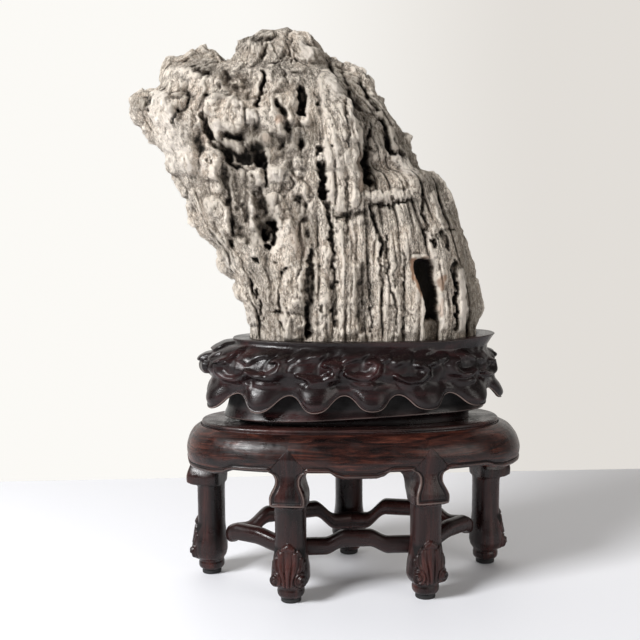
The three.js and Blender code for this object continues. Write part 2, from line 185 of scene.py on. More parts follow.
@dataclass(frozen=True)
class Lattice:
    """Seeded noise: every whole-numbered lattice point owns fixed random numbers."""

    seed: int

    def draw(self, cell: Array, salt: int = 0) -> Array:
        """Random number from 0 to 1 that each lattice cell owns.

        Args:
            cell: whole coordinates of the cells, in the last axis.
            salt: picks another of the cell's numbers.

        Returns:
            One number for each cell.
        """
        mixed = np.full(cell.shape[:-1], (self.seed * 2654435761 + salt * 97561) & 0xFFFFFFFF, np.uint32)
        for axis, prime in zip(range(cell.shape[-1]), (73856093, 19349663, 83492791)):
            bits = (cell[..., axis].astype(np.int64) & 0xFFFFFFFF).astype(np.uint32)
            mixed = (mixed ^ bits) * np.uint32(prime)
            mixed ^= mixed >> np.uint32(15)
        mixed *= np.uint32(2246822519)
        mixed ^= mixed >> np.uint32(13)
        mixed *= np.uint32(3266489917)
        mixed ^= mixed >> np.uint32(16)
        return mixed.astype(float) / 4294967296.0

    def swell(self, points: Array) -> Array:
        """Gradient noise from about -1 to 1: slopes drawn at the lattice points, faded across each cell.

        Args:
            points: places in lattice steps, with two or three coordinates in the last axis.

        Returns:
            The noise at each place.
        """
        base = np.floor(points)
        inner = points - base
        ease = inner**3 * (inner * (inner * 6.0 - 15.0) + 10.0)
        axes = points.shape[-1]
        total = np.zeros(points.shape[:-1])
        for corner in range(2**axes):
            offset = np.array([(corner >> axis) & 1 for axis in range(axes)], float)
            cell = base + offset
            weight = np.prod(np.where(offset > 0, ease, 1.0 - ease), axis=-1)
            slope = [2.0 * self.draw(cell, salt) - 1.0 for salt in range(axes)]
            total += weight * sum(slope[axis] * (inner[..., axis] - offset[axis]) for axis in range(axes))
        return total * 1.7

    def rough(self, points: Array, octaves: int, keep: float = 0.5) -> Array:
        """Sum of gradient noise at doubling pitch, each keep times as strong as the one before."""
        return sum(keep**level * self.swell(points * 2.0**level + 7.3 * level) for level in range(octaves))

    def lumps(self, points: Array, octaves: int, keep: float = 0.5) -> Array:
        """Sum of the size of gradient noise: round lumps that meet in sharp creases, 0 in a crease."""
        return sum(
            keep**level * np.abs(self.swell(points * 2.0**level + 3.1 * level)) for level in range(octaves)
        )

    def pebbles(self, points: Array) -> tuple[Array, Array]:
        """Cells round scattered points, each with a flat face of its own level and tilt.

        Args:
            points: places in lattice steps, with two or three coordinates in the last axis.

        Returns:
            How much nearer the nearest scattered point is than the second nearest, which is 0 where two
            cells meet, and the height of the cell's tilted face, about -1 to 1.
        """
        base = np.floor(points)
        axes = points.shape[-1]
        first = np.full(points.shape[:-1], np.inf)
        second = np.full(points.shape[:-1], np.inf)
        face = np.zeros(points.shape[:-1])
        for corner in range(3**axes):
            offset = np.array([(corner // 3**axis) % 3 - 1 for axis in range(axes)], float)
            cell = base + offset
            spot = np.stack([self.draw(cell, 11 + axis) for axis in range(axes)], axis=-1)
            apart = points - cell - spot
            away = np.sqrt(np.sum(apart**2, axis=-1))
            tilt = sum((self.draw(cell, 22 + axis) - 0.5) * apart[..., axis] for axis in range(axes))
            face = np.where(away < first, self.draw(cell, 21) - 0.5 + 2.2 * tilt, face)
            second = np.minimum(second, np.maximum(first, away))
            first = np.minimum(first, away)
        return second - first, face


# ---- Meshes ----


@dataclass(frozen=True)
class Place:
    """Where the stand's own millimetres lie in the part's frame."""

    middle_x: float
    middle_y: float

    @classmethod
    def of_stand(cls) -> "Place":
        """The stand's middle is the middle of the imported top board."""
        low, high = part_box("top_board")
        return cls((low.x + high.x) / 2 / MILLIMETRE, (low.y + high.y) / 2 / MILLIMETRE)

    def carry(self, points: Array) -> Array:
        """Points from stand millimetres to the part's frame in metres."""
        return (points + np.array([self.middle_x, self.middle_y, 0.0])) * MILLIMETRE


PLACE = Place.of_stand()


def fan(loop: Array, centre: int, forward: bool) -> Array:
    """Triangles from a centre vertex to each edge of a closed loop.

    Args:
        loop: vertex numbers round the loop.
        centre: number of the centre vertex.
        forward: whether the triangles turn the way the loop runs.

    Returns:
        Three vertex numbers for each triangle.
    """
    following = np.roll(loop, -1)
    middle = np.full(loop.shape, centre)
    columns = (middle, loop, following) if forward else (middle, following, loop)
    return np.stack(columns, axis=-1)


def signed_volume(points: Array, triangles: Array) -> float:
    """Volume inside triangles, positive when they face outwards: the sum of a . (b x c) / 6."""
    a, b, c = (points[triangles[:, corner]] for corner in range(3))
    return float(np.einsum("ij,ij->i", a, np.cross(b, c)).sum() / 6.0)


def tube(name: str, grid: Array, attributes: dict[str, Array] | None = None) -> Piece:
    """A closed piece from a grid whose columns run round it and whose rows are its loops.

    Each end is closed by a fan to the middle of its loop, and the faces are turned outwards if their
    signed volume comes out negative.

    Args:
        name: name of the piece.
        grid: points, rows by columns by 3, in stand millimetres.
        attributes: numbers (rows by columns) or vectors (rows by columns by 3) kept on the points.

    Returns:
        The piece, linked to the scene.
    """
    rows, columns = grid.shape[:2]
    points = np.concatenate([grid.reshape(-1, 3), grid[0].mean(0)[None], grid[-1].mean(0)[None]])
    index = np.arange(rows * columns).reshape(rows, columns)
    right = np.roll(index, -1, axis=1)
    quads = np.stack([index[:-1], right[:-1], right[1:], index[1:]], axis=-1).reshape(-1, 4)
    fans = np.concatenate([
        fan(index[0], rows * columns, False),
        fan(index[-1], rows * columns + 1, True),
    ])
    triangles = np.concatenate([quads[:, [0, 1, 2]], quads[:, [0, 2, 3]], fans])
    if signed_volume(points, triangles) < 0:
        quads, fans = quads[:, ::-1], fans[:, ::-1]
    piece = sheet_of(name, PLACE.carry(points), quads, fans)
    crease_rims(piece.data, rows, columns)
    for title, values in (attributes or {}).items():
        middles = [values[row].reshape(columns, -1).mean(0)[None] for row in (0, -1)]
        keep(piece.data, title, np.concatenate([values.reshape(rows * columns, -1), *middles]))
    return piece


def crease_rims(mesh: bpy.types.Mesh, rows: int, columns: int) -> None:
    """Marks the edges of the first and last loops as sharp, so that the flat ends shade apart.

    Args:
        mesh: mesh of a tube.
        rows: how many loops it has.
        columns: how many points a loop has.
    """
    ends = np.empty(len(mesh.edges) * 2, np.int32)
    mesh.edges.foreach_get("vertices", ends)
    ends = ends.reshape(-1, 2)
    first = np.all(ends < columns, axis=1)
    last = np.all((ends >= (rows - 1) * columns) & (ends < rows * columns), axis=1)
    layer = mesh.attributes.new("sharp_edge", "BOOLEAN", "EDGE")
    layer.data.foreach_set("value", first | last)


def sheet_of(name: str, points: Array, quads: Array, triangles: Array) -> Piece:
    """A smooth-shaded mesh object.

    Args:
        name: name of the piece and of its mesh.
        points: points in metres.
        quads: four vertex numbers for each four-cornered face.
        triangles: three vertex numbers for each triangle.

    Returns:
        The piece, linked to the scene.
    """
    mesh = bpy.data.meshes.new(name)
    mesh.vertices.add(len(points))
    mesh.vertices.foreach_set("co", np.ascontiguousarray(points, np.float32).ravel())
    corners = np.concatenate([quads.ravel(), triangles.ravel()]).astype(np.int32)
    starts = np.concatenate([
        np.arange(len(quads)) * 4,
        len(quads) * 4 + np.arange(len(triangles)) * 3,
    ]).astype(np.int32)
    mesh.loops.add(len(corners))
    mesh.loops.foreach_set("vertex_index", corners)
    mesh.polygons.add(len(starts))
    mesh.polygons.foreach_set("loop_start", starts)
    mesh.polygons.foreach_set("use_smooth", np.ones(len(starts), bool))
    mesh.update(calc_edges=True)
    mesh.validate()
    piece = bpy.data.objects.new(name, mesh)
    bpy.context.scene.collection.objects.link(piece)
    return piece


def keep(mesh: bpy.types.Mesh, title: str, values: Array) -> None:
    """Stores one number or one vector for each point, for the materials to read.

    Args:
        mesh: mesh that the values belong to.
        title: name that the materials read them by.
        values: one row for each point, with one or three columns.
    """
    kind, socket = ("FLOAT", "value") if values.shape[1] == 1 else ("FLOAT_VECTOR", "vector")
    layer = mesh.attributes.new(title, kind, "POINT")
    layer.data.foreach_set(socket, np.ascontiguousarray(values, np.float32).ravel())


def settle(piece: Piece, node: str, material: Material) -> Piece:
    """Gives a piece its material and its body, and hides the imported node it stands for.

    Args:
        piece: the dressed piece.
        node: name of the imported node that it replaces.
        material: its finish.

    Returns:
        The same piece.
    """
    piece.data.materials.append(material)
    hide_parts(node)
    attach(piece, "root")
    return piece


# ---- Node graphs ----


class Graph:
    """A material's node tree, with one short method for each kind of node that the finishes use."""

    def __init__(self, name: str) -> None:
        """Starts a material whose tree holds only a principled shader and its output.

        Args:
            name: name of the material.
        """
        self.material = bpy.data.materials.new(name)
        self.material.use_nodes = True
        self.nodes = self.material.node_tree.nodes
        self.nodes.clear()
        self.shader = self.nodes.new("ShaderNodeBsdfPrincipled")
        self.add("ShaderNodeOutputMaterial", {"Surface": self.shader.outputs["BSDF"]})

    def wire(self, socket: Port, value: Feed) -> None:
        """Feeds a socket from another node's output, or sets it to a plain number or colour.

        Args:
            socket: the socket to feed.
            value: the output to link to it, or what to set it to.
        """
        if isinstance(value, Port):
            self.material.node_tree.links.new(value, socket)
        elif isinstance(value, tuple) and len(value) == 3 and socket.type == "RGBA":
            socket.default_value = (*value, 1.0)
        else:
            socket.default_value = value

    def add(self, kind: str, feeds: dict[str | int, Feed], **traits: str) -> bpy.types.Node:
        """A new node, set and fed.

        Args:
            kind: Blender's name for the kind of node.
            feeds: what each of its sockets is fed.
            traits: its other settings.

        Returns:
            The node.
        """
        node = self.nodes.new(kind)
        for trait, setting in traits.items():
            setattr(node, trait, setting)
        for title, value in feeds.items():
            self.wire(node.inputs[title], value)
        return node

    def place(self) -> Port:
        """Object coordinates, in metres."""
        return self.add("ShaderNodeTexCoord", {}).outputs["Object"]

    def stretch(self, source: Port, scale: tuple[float, float, float]) -> Port:
        """A vector with each axis multiplied by its own factor."""
        return self.add("ShaderNodeMapping", {"Vector": source, "Scale": scale}).outputs["Vector"]

    def value(self, title: str) -> Port:
        """A number kept on the mesh's points."""
        return self.add("ShaderNodeAttribute", {}, attribute_name=title).outputs["Fac"]

    def vector(self, title: str) -> Port:
        """A vector kept on the mesh's points."""
        return self.add("ShaderNodeAttribute", {}, attribute_name=title).outputs["Vector"]

    def noise(
        self, where: Port, scale: float, detail: float = 4.0, rough: float = 0.55, distort: float = 0.0
    ) -> Port:
        """Fractal noise, about 0.5 in the middle of its range."""
        feeds = {
            "Vector": where, "Scale": scale, "Detail": detail, "Roughness": rough, "Distortion": distort,
        }
        return self.add("ShaderNodeTexNoise", feeds).outputs["Fac"]

    def range(self, value: Port, low: float, high: float, start: float = 0.0, end: float = 1.0) -> Port:
        """Maps low to start and high to end in a smooth step, and holds beyond them."""
        feeds = {"Value": value, "From Min": low, "From Max": high, "To Min": start, "To Max": end}
        return self.add("ShaderNodeMapRange", feeds, interpolation_type="SMOOTHSTEP").outputs["Result"]

    def sum(self, first: Port, second: Feed) -> Port:
        """Two numbers added."""
        return self.add("ShaderNodeMath", {0: first, 1: second}, operation="ADD").outputs["Value"]

    def times(self, first: Port, second: Feed) -> Port:
        """Two numbers multiplied."""
        return self.add("ShaderNodeMath", {0: first, 1: second}, operation="MULTIPLY").outputs["Value"]

    def blend(self, share: Port, first: Feed, second: Feed) -> Port:
        """Two colours mixed, from the first at share 0 to the second at share 1."""
        return self.add("ShaderNodeMix", {0: share, 6: first, 7: second}, data_type="RGBA").outputs[2]

    def ramp(self, value: Port, stops: list[tuple[float, Colour]]) -> Port:
        """Colours spread along a number.

        Args:
            value: the number.
            stops: place and colour of each stop.

        Returns:
            The colour at the number.
        """
        node = self.add("ShaderNodeValToRGB", {"Fac": value})
        stripes = node.color_ramp.elements
        while len(stripes) < len(stops):
            stripes.new(0.5)
        for stripe, (where, colour) in zip(stripes, stops):
            stripe.position = where
            stripe.color = (*colour, 1.0)
        return node.outputs["Color"]

    def bump(
        self, height: Port, distance: float, strength: float = 1.0, under: Port | None = None
    ) -> Port:
        """A normal tilted by a height field.

        Args:
            height: the height field, from 0 to 1.
            distance: what its full range stands for, in metres.
            strength: how much of the tilt shows.
            under: a normal that is already tilted.

        Returns:
            The tilted normal.
        """
        feeds = {"Strength": strength, "Distance": distance, "Height": height}
        if under is not None:
            feeds["Normal"] = under
        return self.add("ShaderNodeBump", feeds).outputs["Normal"]

    def dress(self, colour: Feed, roughness: Feed, normal: Port | None = None) -> None:
        """Feeds the shader's colour, roughness and normal.

        Args:
            colour: base colour.
            roughness: roughness.
            normal: tilted normal, or none for a smooth surface.
        """
        self.wire(self.shader.inputs["Base Color"], colour)
        self.wire(self.shader.inputs["Roughness"], roughness)
        if normal is not None:
            self.wire(self.shader.inputs["Normal"], normal)


# ---- Finishes ----


@dataclass(frozen=True)
class LimestoneFinish:
    """Weathered limestone: grey-beige crests paled by a painted highlight, near-black creases from painted
    shade, white quartz and a little rust.
    """

    name: str = "weathered_limestone"
    warm: Colour = (0.64, 0.53, 0.425)
    cool: Colour = (0.45, 0.392, 0.33)
    shade: Colour = (0.130, 0.104, 0.080)
    # painted shade: near-black in the deepest creases, cracks and caves
    deep_crease_shade: Colour = (0.040, 0.035, 0.028)
    # the flecks' own colour, and also the colour of the painted highlight on crests
    cream: Colour = (0.88, 0.79, 0.68)
    quartz: Colour = (0.88, 0.80, 0.705)
    rust: Colour = (0.36, 0.155, 0.055)
    # Olive-brown: the stone's own colour, and also painted shade in recesses and on the shaded side
    olive_and_shade: Colour = (0.165, 0.140, 0.105)
    mottle_scale: float = 620.0
    mottle_share: float = 0.66
    streak_scale: float = 760.0
    streak_share: float = 0.62
    fleck_scale: float = 820.0
    olive_and_shade_share: float = 0.72
    rust_share: float = 0.8
    grain_depth: float = 0.0028
    drawn_depth: float = 0.0017

    def make(self) -> Material:
        """Layers colour from the stone's own numbers and fine noise: painted shade in creases, a painted
        highlight on crests, quartz, rust, and a dull green-brown that is partly painted shade.

        Returns:
            The material.
        """
        g = Graph(self.name)
        here = g.place()
        flow = g.vector("flow")
        drawn = g.stretch(flow, (1.0, 1.0, 0.14))
        colour = g.blend(g.range(g.noise(here, 36.0, 4.0, 0.6), 0.40, 0.60), self.cool, self.warm)
        leaning = g.stretch(here, (1.0, 1.0, 0.42))
        mottle = g.range(g.noise(leaning, self.mottle_scale, 4.0, 0.75, 0.9), 0.505, 0.425)
        colour = g.blend(g.times(mottle, self.mottle_share), colour, self.shade)
        streak = g.range(g.noise(drawn, self.streak_scale, 6.0, 0.75), 0.56, 0.38)
        streak = g.times(streak, g.range(g.value("ribbed"), 0.0, 0.8, 0.3, 1.0))
        colour = g.blend(g.times(streak, self.streak_share), colour, self.shade)
        fleck = g.noise(leaning, self.fleck_scale, 4.0, 0.75, 0.6)
        colour = g.blend(g.range(fleck, 0.505, 0.57, 0.0, 0.95), colour, self.cream)
        # Painted highlight: the crests are paled toward cream.
        crest_highlight = g.sum(g.value("crest_highlight"), g.range(fleck, 0.34, 0.68, -0.42, 0.34))
        colour = g.blend(g.range(crest_highlight, 0.12, 0.75, 0.0, 0.90), colour, self.cream)
        # Partly the stone's own colour, partly painted shade in recesses and on the side away from the
        # lamp.
        colour = g.blend(g.times(g.value("olive_and_shade"), self.olive_and_shade_share), colour, self.olive_and_shade)
        pale = g.sum(g.value("quartz"), g.range(g.noise(here, 240.0, 6.0, 0.8), 0.38, 0.62, -0.50, 0.2))
        colour = g.blend(g.range(pale, 0.05, 0.90, 0.0, 0.85), colour, self.quartz)
        colour = g.blend(g.times(g.value("rust"), self.rust_share), colour, self.rust)
        # Painted shade: crease darkens hollows, cracks and caves, to near-black in the deepest.
        crease = g.sum(g.value("crease"), g.range(g.noise(here, 420.0, 6.0, 0.75), 0.32, 0.68, -0.24, 0.24))
        colour = g.blend(g.range(crease, 0.20, 0.64, 0.0, 0.72), colour, self.shade)
        colour = g.blend(g.range(crease, 0.68, 1.05, 0.0, 0.96), colour, self.deep_crease_shade)
        grain = g.bump(g.noise(leaning, 560.0, 4.0, 0.75, 0.9), self.grain_depth)
        normal = g.bump(g.noise(drawn, 640.0, 4.0, 0.7), self.drawn_depth, under=grain)
        g.dress(colour, g.range(g.value("quartz"), 0.2, 0.9, 0.9, 0.66), normal)
        return g.material


@dataclass(frozen=True)
class WoodFinish:
    """Dark oiled hardwood that reads its grain (metres along, across and into the board) and carving."""

    name: str
    shade: Colour = (0.0045, 0.0020, 0.0020)
    body: Colour = (0.019, 0.0066, 0.0058)
    glow: Colour = (0.070, 0.0215, 0.0150)
    # pale colour of the lines along edges: a painted highlight, partly rubbed wear
    edge: Colour = (0.215, 0.155, 0.135)
    # painted shade in carved hollows, grooves and under the skirt
    recess_shade: Colour = (0.0025, 0.0020, 0.0022)
    pitch: tuple[float, float, float] = (9.0, 95.0, 95.0)
    pore_pitch: tuple[float, float, float] = (40.0, 1500.0, 1500.0)
    pore_depth: float = 0.00012
    tool_depth: float = 0.0009
    waver: float = 0.6
    roughness: float = 0.28
    gloss: float = 0.34

    def make(self) -> Material:
        """Wavy bands from dark to red-brown, fine pores along the grain, painted shade in the carved
        hollows, and pale lines along edges that are a painted highlight and partly rubbed wear.

        Returns:
            The material.
        """
        g = Graph(self.name)
        grain = g.vector("grain")
        bands = g.noise(g.stretch(grain, self.pitch), 1.0, 5.0, 0.62, self.waver)
        broad = g.noise(g.stretch(grain, (7.0, 22.0, 22.0)), 1.0, 2.0, 0.5)
        tone = g.ramp(g.sum(g.times(bands, 0.72), g.times(broad, 0.28)),
                      [(0.40, self.shade), (0.52, self.body), (0.66, self.glow)])
        pores = g.noise(g.stretch(grain, self.pore_pitch), 1.0, 3.0, 0.6)
        tone = g.blend(g.range(pores, 0.42, 0.70, 0.0, 0.62), tone, self.shade)
        # Painted shade in carved hollows, grooves and under the skirt.
        tone = g.blend(g.range(g.value("carved"), 0.05, 0.9, 0.0, 0.9), tone, self.recess_shade)
        # Painted highlight, partly rubbed wear: pale lines along edges.
        tone = g.blend(g.range(g.value("wear_and_highlight"), 0.2, 1.0, 0.0, 0.75), tone, self.edge)
        smear = g.noise(g.place(), 60.0, 4.0, 0.6)
        rough = g.sum(g.range(smear, 0.35, 0.68, -0.07, 0.10), self.roughness)
        rough = g.sum(g.range(pores, 0.45, 0.7, 0.0, 0.10), rough)
        hand = g.bump(g.noise(g.place(), 95.0, 3.0, 0.5), self.tool_depth, 0.5)
        rough = g.sum(g.range(g.value("carved"), 0.1, 0.9, 0.0, 0.50), rough)
        g.dress(tone, rough, g.bump(pores, self.pore_depth, 0.8, hand))
        g.wire(g.shader.inputs["Specular IOR Level"], self.gloss)
        return g.material


@dataclass(frozen=True)
class RubberFinish:
    """Black foot pads."""

    name: str = "pad_black"
    shade: Colour = (0.004, 0.004, 0.0045)
    scuff: Colour = (0.012, 0.011, 0.011)
    roughness: float = 0.62

    def make(self) -> Material:
        """Matt black with a faint mottle.

        Returns:
            The material.
        """
        g = Graph(self.name)
        tone = g.blend(g.noise(g.place(), 300.0), self.shade, self.scuff)
        g.dress(tone, self.roughness)
        return g.material


CARVED = WoodFinish(
    "purple_brown_wood", glow=(0.070, 0.0215, 0.0175), body=(0.022, 0.0074, 0.0066), waver=0.35
)
SMOKED = WoodFinish("smoked_wood", glow=(0.034, 0.0105, 0.0105), body=(0.009, 0.0035, 0.0038), waver=0.35)
FIGURED = WoodFinish(
    "figured_red_wood", glow=(0.098, 0.029, 0.018), body=(0.028, 0.0088, 0.0066),
    pitch=(26.0, 170.0, 170.0), waver=2.0,
)


# ---- The stone ----


@dataclass(frozen=True)
class Lump:
    """A knob or rib that stands proud of the stone's front."""

    out: float
    path: Points
    edge: float = 0.6

    def rise(self, x: Array, z: Array) -> Array:
        """out times (1 - q^2)^edge inside the chain, where q is the distance in radii, and 0 outside."""
        return self.out * np.clip(1.0 - chain(x, z, self.path) ** 2, 0.0, 1.0) ** self.edge


@dataclass(frozen=True)
class Hollow:
    """A pit, cave, slot or groove in the stone's front."""

    depth: float
    path: Points
    wall: float = 0.7
    # how strongly painted shade darkens its deepest part
    dark: float = 0.22

    def fall(self, x: Array, z: Array) -> Array:
        """The depth inside the chain, smoothed to 0 across the outer share of its radius."""
        return self.depth * fade(chain(x, z, self.path), 1.0 - self.wall, 1.0)


class Kind(Enum):
    """What a patch does to the stone: three colours, one of them partly painted shade, and two textures."""

    QUARTZ = "quartz"
    RUST = "rust"
    OLIVE_AND_SHADE = "olive_and_shade"
    SMOOTH = "smooth"
    KNOBBY = "knobby"


@dataclass(frozen=True)
class Patch:
    """A patch of colour or texture on the stone's front, full inside its chain and faded round it."""

    path: Points
    strength: float = 1.0

    def cover(self, x: Array, z: Array) -> Array:
        """The strength inside the chain, smoothed to 0 at half a radius outside it."""
        return self.strength * fade(chain(x, z, self.path), 0.55, 1.35)


# Knobs and ribs of the stone's front: how far out, then (x, z, radius) along each.
LUMPS: tuple[Lump, ...] = (
    Lump(7, ((-149, 384, 12), (-144, 377, 11))), Lump(3, ((-165, 386, 7),)),
    Lump(3.5, ((-143, 406, 9), (-138, 396, 9)), 0.8), Lump(3, ((-119, 418, 10),)),
    Lump(4, ((-130, 411, 7), (-112, 398, 7), (-101, 391, 6)), 0.8),
    Lump(10, ((-104, 381, 10), (-96, 376, 13), (-92, 370, 9)), 0.32),
    Lump(5, ((-105, 369, 3.5), (-104, 361, 1.6))), Lump(6, ((-79, 377, 4), (-78, 370, 4.2)), 0.5),
    Lump(6, ((-140, 362, 17), (-131, 342, 13)), 1.2), Lump(3, ((-74, 441, 4), (-64, 444, 4.5)), 0.5),
    Lump(3.5, ((-57, 446, 4.5), (-50, 439, 4)), 0.5), Lump(3.5, ((-45, 442, 4), (-41, 437, 3.5)), 0.5),
    Lump(3, ((-66, 432, 4), (-58, 425, 4.5)), 0.5), Lump(3, ((-80, 434, 3.5), (-74, 427, 4)), 0.5),
    Lump(4.5, ((-39, 434, 3.2), (-36, 428, 4.6), (-34, 421, 3.6)), 0.55),
    Lump(4.5, ((-29, 425, 6.5),), 0.5),
    Lump(9, ((-17, 402, 11), (-12, 360, 13), (-10, 325, 12.5), (-9, 313, 11.5)), 0.35),
    Lump(4, ((-6, 345, 7), (-8, 335, 8))), Lump(3.5, ((-13, 316, 7), (-3, 314, 6)), 0.5),
    Lump(3.5, ((-14, 380, 6), (-9, 372, 5))), Lump(5, ((-62, 331, 5), (-56, 330, 6.5))),
    Lump(4, ((-43, 340, 4.5),), 0.5), Lump(3, ((-43, 332, 4),), 0.5),
    Lump(5, ((-108, 347, 4.5), (-106, 322, 5.5))),
    Lump(6, ((-110, 309, 6), (-104, 300, 8.5), (-101, 291, 6)), 0.45),
    Lump(4, ((-104, 285, 5), (-98, 270, 6), (-90, 255, 5), (-84, 235, 5), (-80, 215, 5))),
    Lump(8, ((-77, 327, 6.5),), 0.5), Lump(6, ((-76, 331, 2.6), (-70, 339, 2.2))),
    Lump(5, ((-79, 313, 2.0), (-79, 290, 2.0))),
    Lump(5, ((-62, 312, 6), (-54, 295, 7), (-49, 270, 8), (-48, 250, 8.5), (-50, 225, 9.5),
         (-48, 212, 10)), 0.5), Lump(3, ((-25, 272, 6), (-26, 240, 6.5), (-26, 212, 7))),
    Lump(3.5, ((-10, 283, 5), (-5, 262, 6.5), (-5, 235, 7), (-5, 212, 7.5))),
    Lump(3, ((-12, 290, 4.5),), 0.5), Lump(5, ((8, 315, 3.6),), 0.5), Lump(7, ((16, 314, 6.2),), 0.5),
    Lump(5.5, ((25, 314.5, 4.8),), 0.5), Lump(5, ((32.5, 316, 5),), 0.5),
    Lump(4.5, ((40, 316.5, 4.8),), 0.5), Lump(3, ((46, 318, 4.2),)),
    Lump(4, ((31, 343, 3.2), (39, 341, 4.5), (46, 334, 4.5)), 0.5),
    Lump(4, ((52, 331, 5), (63, 328, 6)), 0.7), Lump(4.5, ((49, 266, 3.6), (55, 265, 3.6)), 0.5),
    Lump(3, ((86, 257, 3), (88, 232, 4.4), (87, 209, 4.2)), 0.5),
    Lump(2.5, ((69, 262, 3.5), (70, 240, 4), (71, 212, 4)), 0.5), Lump(3, ((64, 315, 4), (69, 296, 4))),
    Lump(6, ((-66, 373, 9.5), (-60, 366, 7.5)), 0.5), Lump(5, ((-69, 357, 5.5),), 0.5),
    Lump(4, ((-47, 371, 4.5),), 0.5), Lump(4, ((-37, 371, 4.5),), 0.5), Lump(3, ((-42, 362, 3.5),), 0.5),
    Lump(5, ((-14, 416, 4), (-10, 406, 4.5), (-1, 393, 5)), 0.5),
    Lump(5, ((-3, 411, 5), (4, 400, 5), (12, 386, 6)), 0.5),
    Lump(4, ((10, 402, 4), (17, 391, 4.5), (28, 376, 5), (36, 362, 5), (44, 349, 5)), 0.5),
    Lump(4, ((12, 372, 6), (16, 358, 6.5), (17, 345, 6))), Lump(3.5, ((30, 366, 4), (32, 354, 4))),
    Lump(3, ((-16, 398, 7.5),), 0.7), Lump(5, ((-4, 379, 2.6), (0, 368, 3.6), (3, 357, 3.6))),
)
